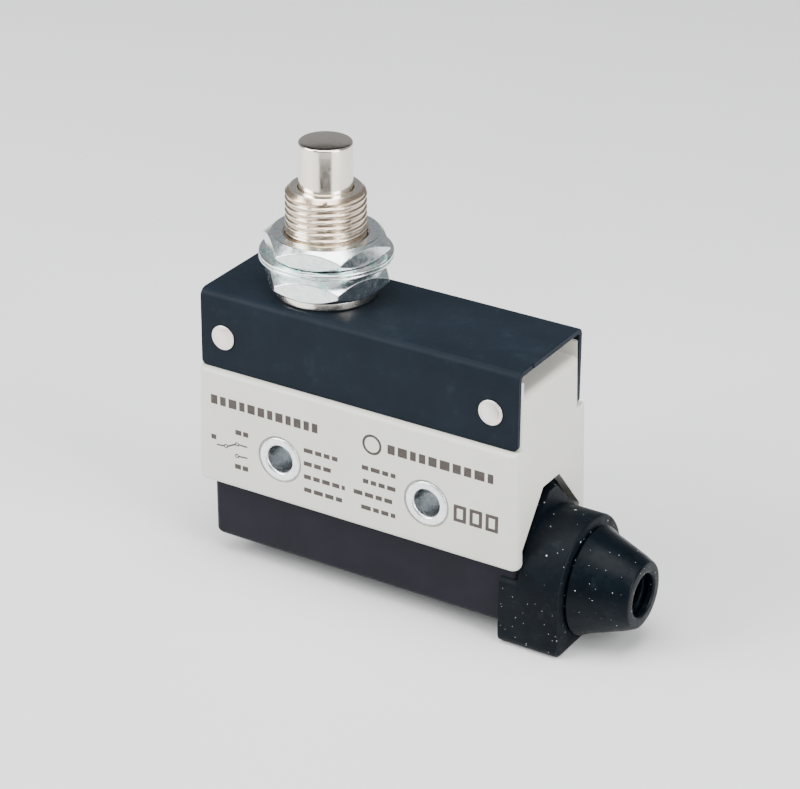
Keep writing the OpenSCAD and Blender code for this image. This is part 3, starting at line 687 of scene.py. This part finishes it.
def mark_prism(outline):
    count = len(outline)
    faces = [tuple(range(count)), tuple(reversed(range(count, 2 * count)))]
    for k in range(count):
        n = (k + 1) % count
        faces.append((k, n, count + n, count + k))
    return mark_vertices(outline), faces


def mark_ring(x, z, radius, width, steps=24):
    """A thin printed ring, as its own closed strip."""
    inner = arc(x, z, radius - width, 0, 360 - 360 / steps, steps - 1)
    outer = arc(x, z, radius, 0, 360 - 360 / steps, steps - 1)
    vertices = mark_vertices(outer) + mark_vertices(inner)
    faces = []
    for k in range(steps):
        n = (k + 1) % steps
        of, ob, jf, jb = k, steps + k, 2 * steps + k, 3 * steps + k
        of2, ob2, jf2, jb2 = n, steps + n, 2 * steps + n, 3 * steps + n
        faces += [(of, of2, jf2, jf), (ob, jb, jb2, ob2), (of, ob, ob2, of2), (jf, jf2, jb2, jb)]
    return vertices, faces


def bar(x0, z0, x1, z1, width):
    """Outline of a straight printed line with square ends."""
    along = Vector((x1 - x0, z1 - z0)).normalized() * width / 2
    side = Vector((-along.y, along.x))
    ends = ((x0, z0, -1), (x1, z1, 1))
    return [(x + s * along.x + k * side.x, z + s * along.y + k * side.y)
            for x, z, s in ends for k in (s, -s)]


def dash_row(x0, x1, z, height, rng, gap=0.45):
    """A row of short dashes, centred on z, that stands for a line of small print."""
    outlines = []
    x = x0
    while x < x1 - 0.5:
        length = min(rng.uniform(0.9, 1.7), x1 - x)
        outlines.append([(x, z - height / 2), (x + length, z - height / 2),
                         (x + length, z + height / 2), (x, z + height / 2)])
        x += length + gap
    return outlines


def frame_bars(x0, z0, x1, z1, width):
    """Four bars that make a hollow rectangle."""
    half = width / 2
    return [bar(x0 + half, z0 + half, x1 - half, z0 + half, width),
            bar(x0 + half, z1 - half, x1 - half, z1 - half, width),
            bar(x0 + half, z0 + half * 3, x0 + half, z1 - half * 3, width),
            bar(x1 - half, z0 + half * 3, x1 - half, z1 - half * 3, width)]


def build_marking():
    """Plain dashes in the places of the print, and a changeover-contact symbol."""
    rng = random.Random(7)
    big, small, line = 1.5, 0.72, 0.24
    outlines = dash_row(-24.9, -5.9, 6.95, big, rng, 0.5)
    outlines += dash_row(6.1, 24.3, 7.05, big, rng, 0.5)
    left_ends, right_starts = (-1.9, -3.1, -1.2, -1.7), (1.7, 1.9, 0.3, 1.6)
    for row in range(4):
        z = 2.85 - 2.2 * row
        outlines += dash_row(-8.4, left_ends[row], z, small, rng, 0.4)
        outlines += dash_row(right_starts[row], 7.5, z + 0.05, small, rng, 0.4)
    for k in range(3):
        x = 17.3 + 2.65 * k
        outlines += frame_bars(x, -1.45, x + 2.1, 1.3, 0.55)
    outlines.append(bar(-23.9, -0.6, -22.75, -0.5, line))
    outlines.append(bar(-22.0, -0.35, -20.7, 0.3, line))
    outlines.append(bar(-20.0, 0.42, -18.6, 0.42, line))
    outlines.append(bar(-20.0, -1.55, -18.6, -1.45, line))
    short_marks = ((-25.0, 0.6, 0.9), (-20.6, 2.45, 1.1), (-19.2, 2.45, 1.1),
                   (-20.8, -3.35, 1.1), (-19.4, -3.35, 1.0))
    for x, z, length in short_marks:
        outlines += dash_row(x, x + length, z, 0.8, rng, 1.0)
    parts = [mark_prism(o) for o in outlines]
    for x, z in ((-22.36, -0.43), (-20.35, 0.4), (-20.39, -1.57)):
        parts.append(mark_ring(x, z, 0.36, 0.17))
    parts.append(mark_ring(3.45, 7.0, 1.65, 0.4, 40))
    vertices, faces = [], []
    for part_vertices, part_faces in parts:
        base = len(vertices)
        vertices += part_vertices
        faces += [tuple(base + i for i in face) for face in part_faces]
    obj = make_object("front_marking", vertices, faces)
    return add_piece(obj, "marking", "switch_body", "housing_plastic")


# ------------------------------------------------------------------ metal cover and rivets

BEND_R = 1.3
COVER_CORNER = 0.8
COVER_HOLE_R = 6.1
CUT_REACH = 12.0
NOTCH_DEPTH = 0.35
NOTCH_HALF = 0.14


def cover_section():
    """Outline of the bent sheet, seen along X."""
    hw, top, low = COVER_HI.y, COVER_HI.z, COVER_LO.z
    inner_r = BEND_R - SHEET_T
    cy, cz = hw - BEND_R, top - BEND_R
    outer = arc(cy, cz, BEND_R, 0, 90, 8) + arc(-cy, cz, BEND_R, 90, 180, 8)
    inner = arc(-cy, cz, inner_r, 180, 90, 8) + arc(cy, cz, inner_r, 90, 0, 8)
    return [(hw, low)] + outer + [(-hw, low), (-hw + SHEET_T, low)] + inner + [(hw - SHEET_T, low)]


def cover_corner_cutter(end):
    """Rounds the lower corners of both flanges at one end."""
    x = COVER_HI.x if end > 0 else COVER_LO.x
    cx, cz = x - end * COVER_CORNER, COVER_LO.z + COVER_CORNER
    points = arc(cx, cz, COVER_CORNER, -90, 0, 6) if end > 0 else arc(cx, cz, COVER_CORNER, 270, 180, 6)
    outline = points + [(x + end, cz), (x + end, COVER_LO.z - 1), (cx, COVER_LO.z - 1)]
    return extrude("cut", outline, "y", -CUT_REACH, CUT_REACH)


def build_cover():
    obj = extrude("cover_sheet", cover_section(), "x", COVER_LO.x, COVER_HI.x)
    tools = [cover_corner_cutter(-1), cover_corner_cutter(1)]
    tools.append(rod("cut", "z", (BUSH_X, 0), COVER_HOLE_R, 20, 26, 96))
    for node in ("rivet_left", "rivet_right"):
        low, high = box_mm(node)
        centre = (low + high) / 2
        tools.append(rod("cut", "y", (centre.x, centre.z), RIVET_HOLE_R, -CUT_REACH, CUT_REACH, 32))
    notch_y = -COVER_HI.y + 4.1
    tools.append(block("cut", (COVER_HI.x - NOTCH_DEPTH, notch_y - NOTCH_HALF, COVER_HI.z - 3),
                       (COVER_HI.x + 1, notch_y + NOTCH_HALF, COVER_HI.z + 1)))
    boolean(obj, tools)
    soften(obj, 0.13)
    return add_piece(obj, "paint", "switch_body", "cover_black", "top_cover")


def build_rivet(node):
    low, high = box_mm(node)
    centre = ((low.x + high.x) / 2, 0, (low.z + high.z) / 2)
    head_r = (high.x - low.x) / 2
    face, seat = high.y, COVER_HI.y
    edge = 0.12
    half = [(1.25, seat - 0.02), (head_r - 0.06, seat + 0.01), (head_r, seat + 0.08)]
    half += arc(head_r - edge, face - edge - 0.05, edge, 0, 75, 4)
    half += [(head_r * 0.84, face - 0.03), (head_r * 0.80, face - 0.055)]
    half += [(head_r * 0.76, face - 0.02), (0.001, face)]
    profile = half + [(r, -h) for r, h in reversed(half)]
    obj = lathe(node + "_piece", profile, centre, "y", 48, close=False)
    return add_piece(obj, "rivet", "switch_body", "nickel", node)


def build_eyelet(node):
    """Tube with a rolled front flange and a flattened back flange."""
    low, high = box_mm(node)
    centre = ((low.x + high.x) / 2, 0, (low.z + high.z) / 2)
    bore, tube, rim = 2.15, 2.6, (high.x - low.x) / 2
    front, back = low.y, high.y
    roll = 0.27
    profile = [(bore, front + 1.4)]
    profile += arc(bore + 0.45, front + 0.42, 0.42, 180, 262, 7)
    profile += [(bore + 0.62, front + 0.01), (rim - roll - 0.25, front + 0.02)]
    profile += arc(rim - roll, front + roll + 0.03, roll, 270, 400, 8)
    profile += [(tube + 0.25, front + 0.5), (tube, front + 0.75)]
    profile += [(tube, back - 0.7), (tube + 0.2, back - 0.5)]
    profile += arc(rim - 0.2, back - 0.25, 0.2, -60, 80, 5)
    profile += [(bore + 0.4, back - 0.02)] + arc(bore + 0.3, back - 0.32, 0.3, 90, 180, 4)
    obj = lathe(node + "_piece", profile, centre, "y", 72)
    return add_piece(obj, "eyelet", "switch_body", "eyelet_metal", node)


# ------------------------------------------------------------------ bushing, plunger, nuts and washers

THREAD_R = 6.0
THREAD_PITCH = 1.0
THREAD_DEPTH = 0.26
THREAD_LOW_Z = 25.7
THREAD_CREST = 0.10
THREAD_FLANK = 0.55
CHAMFER = 0.75
BORE_R = 4.1


def thread_radius(angle, z):
    """Radius of the thread's surface, from narrow crests down to wide roots."""
    phase = (z / THREAD_PITCH - angle / (2 * math.pi)) % 1.0
    flank = min(max((abs(2 * phase - 1) - THREAD_CREST) / THREAD_FLANK, 0), 1)
    dip = flank * flank * (3 - 2 * flank)
    return THREAD_R - THREAD_DEPTH * dip


def bushing_rows():
    """Profile of the bushing as (kind, radius, height), up the outside and down the bore."""
    top = BUSH_HI.z
    flange_r = (BUSH_HI.x - BUSH_LO.x) / 2
    flange_low, flange_top = COVER_HI.z + 0.01, COVER_HI.z + 1.4
    rows = [(5.75, BUSH_LO.z + 0.02), (5.8, BUSH_LO.z + 0.2), (5.8, COVER_HI.z - 0.05), (6.2, flange_low)]
    rows += [(flange_r - 0.25, flange_low), (flange_r, flange_low + 0.22)]
    rows += arc(flange_r - 0.3, flange_top - 0.3, 0.3, 0, 90, 5)
    rows += [(6.1, flange_top), (5.6, flange_top + 0.05)]
    rows = [("plain", r, h) for r, h in rows]
    thread_top = top - CHAMFER + 0.1
    count = int((thread_top - THREAD_LOW_Z) / THREAD_PITCH * 14)
    rows += [("thread", 0, THREAD_LOW_Z + (thread_top - THREAD_LOW_Z) * i / count) for i in range(count + 1)]
    upper = [(THREAD_R - 0.15, top - CHAMFER + 0.15), (THREAD_R - CHAMFER + 0.05, top - 0.05)]
    upper += [(THREAD_R - CHAMFER, top - 0.01), (THREAD_R - CHAMFER - 0.1, top), (BORE_R + 0.38, top)]
    upper += arc(BORE_R + 0.25, top - 0.25, 0.25, 90, 180, 4)
    upper += [(BORE_R, 38.7), (BORE_R, 30.8), (4.7, 30.8), (4.7, BUSH_LO.z + 0.1)]
    return rows + [("plain", r, h) for r, h in upper]


def build_bushing():
    """One revolved skin: flange, thread, chamfered top and bore."""
    top = BUSH_HI.z
    segments = 120
    rows = bushing_rows()
    vertices, faces = [], []
    for i in range(segments):
        a = 2 * math.pi * i / segments
        for kind, r, z in rows:
            if kind == "thread":
                limit = THREAD_R + (top - CHAMFER - z)
                start = 5.55 + max(z - THREAD_LOW_Z, 0) * 1.5
                r = min(thread_radius(a, z), max(limit, THREAD_R - 0.12), start)
            vertices.append((BUSH_X + r * math.cos(a), r * math.sin(a), z))
    count = len(rows)
    for i in range(segments):
        a, b = i * count, (i + 1) % segments * count
        faces += [(a + k, b + k, b + (k + 1) % count, a + (k + 1) % count) for k in range(count)]
    obj = make_object("threaded_bushing", vertices, faces)
    return add_piece(obj, "bushing", "switch_body", "nickel", "bushing")


def build_plunger():
    """Stem with a shallow dome on top, and a collar that stays inside the bushing."""
    radius = 4.0
    low, top = PLUNGER_LO.z, PLUNGER_HI.z
    crown_r = 28.0
    edge = 0.34
    flat = radius - edge
    sag = crown_r - math.sqrt(crown_r ** 2 - flat ** 2)
    profile = [(2.9, low), (4.5, low), (4.6, low + 0.1), (4.6, low + 1.85)]
    profile += [(4.5, low + 1.95), (radius, low + 1.96)]
    profile += [(radius, low + h) for h in (4, 7, 10, 13, 16)] + [(radius, top - sag - edge)]
    profile += arc(flat, top - sag - edge, edge, 8, 78, 6)
    for k in range(7, 0, -1):
        r = flat * k / 8
        profile.append((r, top - crown_r + math.sqrt(crown_r ** 2 - r ** 2)))
    profile += [(0.0, top), (0.0, top - 2.5), (2.9, top - 2.5)]
    obj = lathe("plunger_piece", profile, (BUSH_X, 0, 0), "z", 128)
    return add_piece(obj, "plunger", "plunger", "nickel", "plunger")


NUT_FLATS = 17.0
NUT_BOTTOM_R = 8.3
NUT_BORE_R = 6.07
WASHER_BORE_R = 6.6
NUT_SLOPE = math.tan(math.radians(40))


def hex_radius(angle, turn):
    """Distance from the axis to a flat, for angles in degrees."""
    inside = (angle - turn) % 60 - 30
    return NUT_FLATS / 2 / math.cos(math.radians(inside))


def build_nut(node, name, body, turn, top_r):
    """Hexagon nut whose chamfers cut curved lines into its flats."""
    low, high = box_mm(node)
    bore = NUT_BORE_R
    segments = 144
    vertices, faces = [], []
    for i in range(segments):
        angle = turn + 360 * i / segments
        rim = hex_radius(angle, turn)
        a = math.radians(angle)
        ring = [(bore, low.z + 0.4), (bore + 0.4, low.z), (NUT_BOTTOM_R, low.z)]
        ring += [(rim, low.z + (rim - NUT_BOTTOM_R) * NUT_SLOPE), (rim, high.z - (rim - top_r) * NUT_SLOPE)]
        ring += [(top_r, high.z), (bore + 0.45, high.z), (bore, high.z - 0.45)]
        vertices += [(BUSH_X + r * math.cos(a), r * math.sin(a), z) for r, z in ring]
    count = 8
    for i in range(segments):
        a, b = i * count, (i + 1) % segments * count
        faces += [(a + k, b + k, b + (k + 1) % count, a + (k + 1) % count) for k in range(count)]
    obj = make_object(name, vertices, faces)
    soften(obj, 0.09, 2, 24)
    return add_piece(obj, "zinc", body, "zinc", node)


def build_washer(node, name, body):
    """Stamped washer: rounded on one edge, crisp on the other."""
    low, high = box_mm(node)
    centre = (low + high) / 2
    radius, bore = (high.x - low.x) / 2, WASHER_BORE_R
    profile = [(bore, low.z + 0.06), (bore + 0.06, low.z), (radius - 0.14, low.z)]
    profile += arc(radius - 0.14, low.z + 0.14, 0.14, -75, -5, 4)
    profile += arc(radius - 0.17, high.z - 0.17, 0.17, 5, 80, 4)
    profile += [(radius - 0.5, high.z), (bore + 0.1, high.z), (bore, high.z - 0.1)]
    obj = lathe(name, profile, (centre.x, centre.y, 0), "z", 128)
    return add_piece(obj, "washer", body, "zinc", node)


# ------------------------------------------------------------------ terminal cover

TRAY_CORNER = 1.0
TRAY_FOOT = 1.0
TRAY_DRAFT = 0.05
TRAY_WALL = 1.2
SCREW_HOLE_R = 1.4
SCREW_HEAD_HOLE_R = 2.5
SCREW_BOSS_R = 3.5
POST_X = (-7.5, 11.0)


def build_tray():
    """Drafted tray with rounded lower edges and two screw recesses."""
    steps = 6
    rim = HOUSING_LO.z + 0.6
    loops = []

    def outline(z, inset):
        share = (rim - z) / (rim - TRAY_LO.z)
        grow = inset + TRAY_DRAFT * share
        x0, y0 = TRAY_LO.x + grow, TRAY_LO.y + grow
        return [(x, y, z) for x, y in round_rect(x0, y0, TRAY_HI.x - 0.1, -y0, TRAY_CORNER, 8)]

    for i in range(steps + 1):
        a = math.radians(90 * i / steps)
        loops.append(outline(TRAY_LO.z + TRAY_FOOT * (1 - math.cos(a)), TRAY_FOOT * (1 - math.sin(a))))
    loops.append(outline(rim, 0))
    obj = loft("terminal_tray", loops)
    inner_y = TRAY_HI.y - TRAY_WALL
    tools = [block("cut", (TRAY_LO.x + 1.5, -inner_y, TRAY_LO.z + 1.3), (TRAY_HI.x - 1.3, inner_y, rim + 1)),
             block("cut", (TRAY_HI.x - 3, -4.6, TRAY_LO.z + 1.3), (TRAY_HI.x + 1, 4.6, rim + 1))]
    boolean(obj, tools)
    bosses = [rod("boss", "z", (x, 0), SCREW_BOSS_R, TRAY_LO.z + 1, -13.4, 48) for x in POST_X]
    boolean(obj, bosses, "UNION")
    recesses = [rod("cut", "z", (x, 0), SCREW_HOLE_R, TRAY_LO.z - 1, -12, 32) for x in POST_X]
    recesses += [rod("cut", "z", (x, 0), SCREW_HEAD_HOLE_R, TRAY_LO.z - 1, TRAY_LO.z + 1.8, 48)
                 for x in POST_X]
    boolean(obj, recesses)
    soften(obj, 0.10)
    return add_piece(obj, "tray", "switch_body", "tray_plastic", "terminal_cover")


def build_cover_screw(node):
    """Pan-head screw with a cross recess, sunk in the tray's underside."""
    low, high = box_mm(node)
    x = (low.x + high.x) / 2
    head_r = (high.x - low.x) / 2
    head_top = low.z + 1.5
    profile = [(0.0, low.z + 0.02)]
    profile += [(head_r * k, low.z + 0.02 + 0.28 * k * k) for k in (0.25, 0.5, 0.75, 0.92)]
    profile += arc(head_r - 0.2, low.z + 0.55, 0.2, -20, 0, 3) + [(head_r, head_top), (1.3, head_top)]
    profile += [(1.3, high.z - 0.4), (0.9, high.z), (0.0, high.z)]
    obj = lathe(node + "_piece", profile, (x, 0, 0), "z", 64)
    arms = [block("cut", (x - 1.35, -0.3, low.z - 0.5), (x + 1.35, 0.3, low.z + 0.9)),
            block("cut", (x - 0.3, -1.35, low.z - 0.5), (x + 0.3, 1.35, low.z + 0.9))]
    boolean(obj, arms)
    return add_piece(obj, "steel", "switch_body", "steel", node)


# ------------------------------------------------------------------ rubber boot and nozzle

BOOT_R = BOOT_HI.y
BOOT_SKIRT_X = 24.7
BOOT_SHOULDER_Z = -8.6
BOOT_CORNER = 1.6
COLLAR_X = 27.9


def collar_outline(grow=0.0):
    """Round above the cable axis, square with eased corners below it."""
    r = BOOT_R + grow
    low = BOOT_LO.z - grow
    c = BOOT_CORNER
    points = arc(0, CABLE_Z, r, 0, 180, 40)
    points += [(-r, (CABLE_Z + low) / 2)]
    points += arc(-r + c, low + c, c, 180, 270, 8) + [(0, low)]
    points += arc(r - c, low + c, c, 270, 360, 8) + [(r, (CABLE_Z + low) / 2)]
    return points


def build_boot():
    """Collar, skirt and end flange of the rubber boot, moulded as one."""
    x1 = BOOT_HI.x
    stations = [(COLLAR_X - 0.3, 0.0), (x1 - 0.45, 0.0), (x1 - 0.25, -0.06), (x1 - 0.08, -0.22), (x1, -0.45)]
    obj = loft("boot_body", [[(x, y, z) for y, z in collar_outline(g)] for x, g in stations])
    skirt = extrude("skirt", round_rect(-BOOT_R, BOOT_LO.z, BOOT_R, BOOT_SHOULDER_Z, BOOT_CORNER, 8),
                    "x", BOOT_SKIRT_X, COLLAR_X)
    flange = extrude("flange", entry_outline(1.2, -8.2), "x", HALF_L - 2.0, COLLAR_X)
    wall_x = end_x(LEDGE_Z) - END_WALL
    lip = extrude("lip", entry_outline(-0.3, -6.3), "x", wall_x - 0.9, wall_x - 0.12)
    boolean(obj, [skirt, flange, lip], "UNION")
    pocket = block("cut", (BOOT_SKIRT_X - 1, TRAY_LO.y - 0.03, TRAY_LO.z - 0.03),
                   (TRAY_HI.x + 0.05, TRAY_HI.y + 0.03, TRAY_HI.z + 0.1))
    way = rod("cut", "x", (0, CABLE_Z), 4.0, BOOT_SKIRT_X, x1 + 1)
    seat = rod("cut", "x", (0, CABLE_Z), 6.45, 30.0, x1 + 1)
    boolean(obj, [pocket, way, seat])
    soften(obj, 0.16, 2, 30)
    return add_piece(obj, "boot", "switch_body", "rubber", "cable_boot")


def build_nozzle():
    """Tapered nozzle: an undercut at its root, an eased tip and ribs in its bore."""
    root, tip = BOOT_HI.x, NOZZLE_HI.x
    base_r, tip_r, bore = 8.3, 5.2, 3.3
    taper = math.degrees(math.atan2(base_r - tip_r, tip - root))
    edge = 0.45
    profile = [(bore, NOZZLE_LO.x), (6.35, NOZZLE_LO.x), (6.35, root - 0.02)]
    profile += [(7.6, root + 0.04), (7.75, root + 0.22)]
    profile += arc(base_r - 0.38, root + 0.55, 0.38, -75, 90 - taper - 70, 6)
    steps = 8
    start_x = root + 0.75
    stop_x = tip - edge
    for k in range(1, steps):
        x = start_x + (stop_x - start_x) * k / steps
        profile.append((base_r - (x - root) * (base_r - tip_r) / (tip - root), x))
    profile += arc(tip_r - edge, tip - edge, edge, 10, 85, 5)
    profile += [(bore + 0.55, tip - 0.005)]
    profile += arc(bore + 0.35, tip - 0.35, 0.35, 100, 160, 2)
    x = tip - 0.9
    for _ in range(5):
        profile += [(bore, x), (bore + 0.12, x - 0.1), (bore + 0.42, x - 0.24), (bore + 0.45, x - 0.5),
                    (bore + 0.42, x - 0.76), (bore + 0.12, x - 0.9), (bore, x - 1.0)]
        x -= 1.5
    obj = lathe("nozzle_piece", profile, (0, 0, CABLE_Z), "x", 112)
    return add_piece(obj, "nozzle", "switch_body", "rubber", "cable_nozzle")


# ------------------------------------------------------------------ pieces kept from the CAD frame

KEPT = {
    "steel": ("bushing_lock_ring", "plunger_spring", "com_screw", "nc_screw", "no_screw",
              "com_clamp", "nc_clamp", "no_clamp"),
    "brass": ("actuator_pin", "lid_rivets", "moving_blade", "com_terminal", "nc_terminal", "no_terminal"),
    "silver": ("moving_contact", "nc_contact", "no_contact"),
    "phenolic": ("switch_base", "switch_lid"),
    "button": ("push_button",),
    "nylon": ("pin_guide",),
    "seal": ("plunger_oring", "button_seal", "cover_gasket"),
}


def dress_kept_nodes():
    for key, nodes in KEPT.items():
        for node in nodes:
            give_material(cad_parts[node], key)


# ------------------------------------------------------------------ studio

VIEW_AZIMUTH = math.radians(31.256)
VIEW_ELEVATION = math.radians(26.802)
VIEW_ROLL = math.radians(0.4)
VIEW_DISTANCE = 433.1
VIEW_AIM = Vector((0.51, 2.24, 9.0))
LENS_MM = 131.3


def view_axes():
    """Right, up and backward directions of the camera."""
    right = Vector((math.cos(VIEW_AZIMUTH), math.sin(VIEW_AZIMUTH), 0))
    back = Vector((math.sin(VIEW_AZIMUTH) * math.cos(VIEW_ELEVATION),
                   -math.cos(VIEW_AZIMUTH) * math.cos(VIEW_ELEVATION), math.sin(VIEW_ELEVATION)))
    up = back.cross(right)
    c, s = math.cos(VIEW_ROLL), math.sin(VIEW_ROLL)
    return c * right + s * up, c * up - s * right, back


def add_camera():
    data = bpy.data.cameras.new("camera")
    data.lens = LENS_MM
    data.sensor_width = 36
    data.clip_start = 0.01
    data.clip_end = 20
    camera = bpy.data.objects.new("camera", data)
    right, up, back = view_axes()
    rotation = Matrix((right, up, back)).transposed().to_4x4()
    camera.matrix_world = Matrix.Translation((VIEW_AIM + back * VIEW_DISTANCE) * MM) @ rotation
    bpy.context.scene.collection.objects.link(camera)
    bpy.context.scene.camera = camera


def add_softbox(name, place, target, size, power):
    data = bpy.data.lights.new(name, "AREA")
    data.shape = "RECTANGLE"
    data.size, data.size_y = size
    data.energy = power
    light = bpy.data.objects.new(name, data)
    direction = Vector(target) - Vector(place)
    turn = direction.to_track_quat("-Z", "Y").to_matrix().to_4x4()
    light.matrix_world = Matrix.Translation(place) @ turn
    bpy.context.scene.collection.objects.link(light)


def add_flag(name, corners):
    """A black card that only reflections see. It gives plated metal its dark bands."""
    flag = make_object(name, corners, [tuple(range(len(corners)))])
    flag.data.materials.append(MATERIALS["flag"])
    for rays in ("visible_camera", "visible_diffuse", "visible_shadow", "visible_transmission"):
        setattr(flag, rays, False)


def flag_point(turn, distance, z):
    """Point at a distance from the bushing's axis, turned from the camera's direction."""
    a = VIEW_AZIMUTH + math.radians(turn)
    return (BUSH_X + distance * math.sin(a), -distance * math.cos(a), z)


def add_studio():
    size = 3000
    low = FLOOR_Z - 0.02
    corners = [(-size, -size, low), (size, -size, low), (size, size, low), (-size, size, low)]
    floor = make_object("studio_floor", corners, [(0, 1, 2, 3)])
    floor.data.materials.append(floor_surface())
    low += 0.5
    add_flag("floor_flag", [flag_point(-20, 85, low), flag_point(20, 85, low), flag_point(27, 220, low),
                            flag_point(-27, 220, low)])
    add_flag("back_flag", [flag_point(135, 500, 265), flag_point(225, 500, 265), flag_point(225, 400, 800),
                           flag_point(135, 400, 800)])
    aim = (0, 0, 0.012)
    add_softbox("key_left", (-0.42, -0.40, 0.38), aim, (0.45, 0.45), 7.0)
    add_softbox("fill_right", (0.55, -0.12, 0.26), aim, (0.30, 0.45), 4.5)
    add_softbox("top", (0.03, -0.06, 0.60), aim, (0.50, 0.50), 5.5)
    world = bpy.data.worlds.new("studio")
    world.use_nodes = True
    background = world.node_tree.nodes["Background"]
    background.inputs["Color"].default_value = (0.93, 0.96, 1.0, 1)
    background.inputs["Strength"].default_value = 0.35
    bpy.context.scene.world = world


# ------------------------------------------------------------------ assembly

add_camera()
add_studio()
build_housing()
build_marking()
build_cover()
for rivet_node in ("rivet_left", "rivet_right"):
    build_rivet(rivet_node)
for eyelet_node in ("eyelet_left", "eyelet_right"):
    build_eyelet(eyelet_node)
build_bushing()
build_plunger()
build_nut("upper_nut", "upper_hex_nut", "upper_nut", 15.0, 8.0)
build_nut("lower_nut", "lower_hex_nut", "switch_body", 12.6, 7.35)
build_washer("upper_washer", "upper_plain_washer", "upper_washer")
build_washer("lower_washer", "lower_plain_washer", "switch_body")
build_tray()
for screw_node in ("cover_screw_left", "cover_screw_right"):
    build_cover_screw(screw_node)
build_boot()
build_nozzle()
dress_kept_nodes()
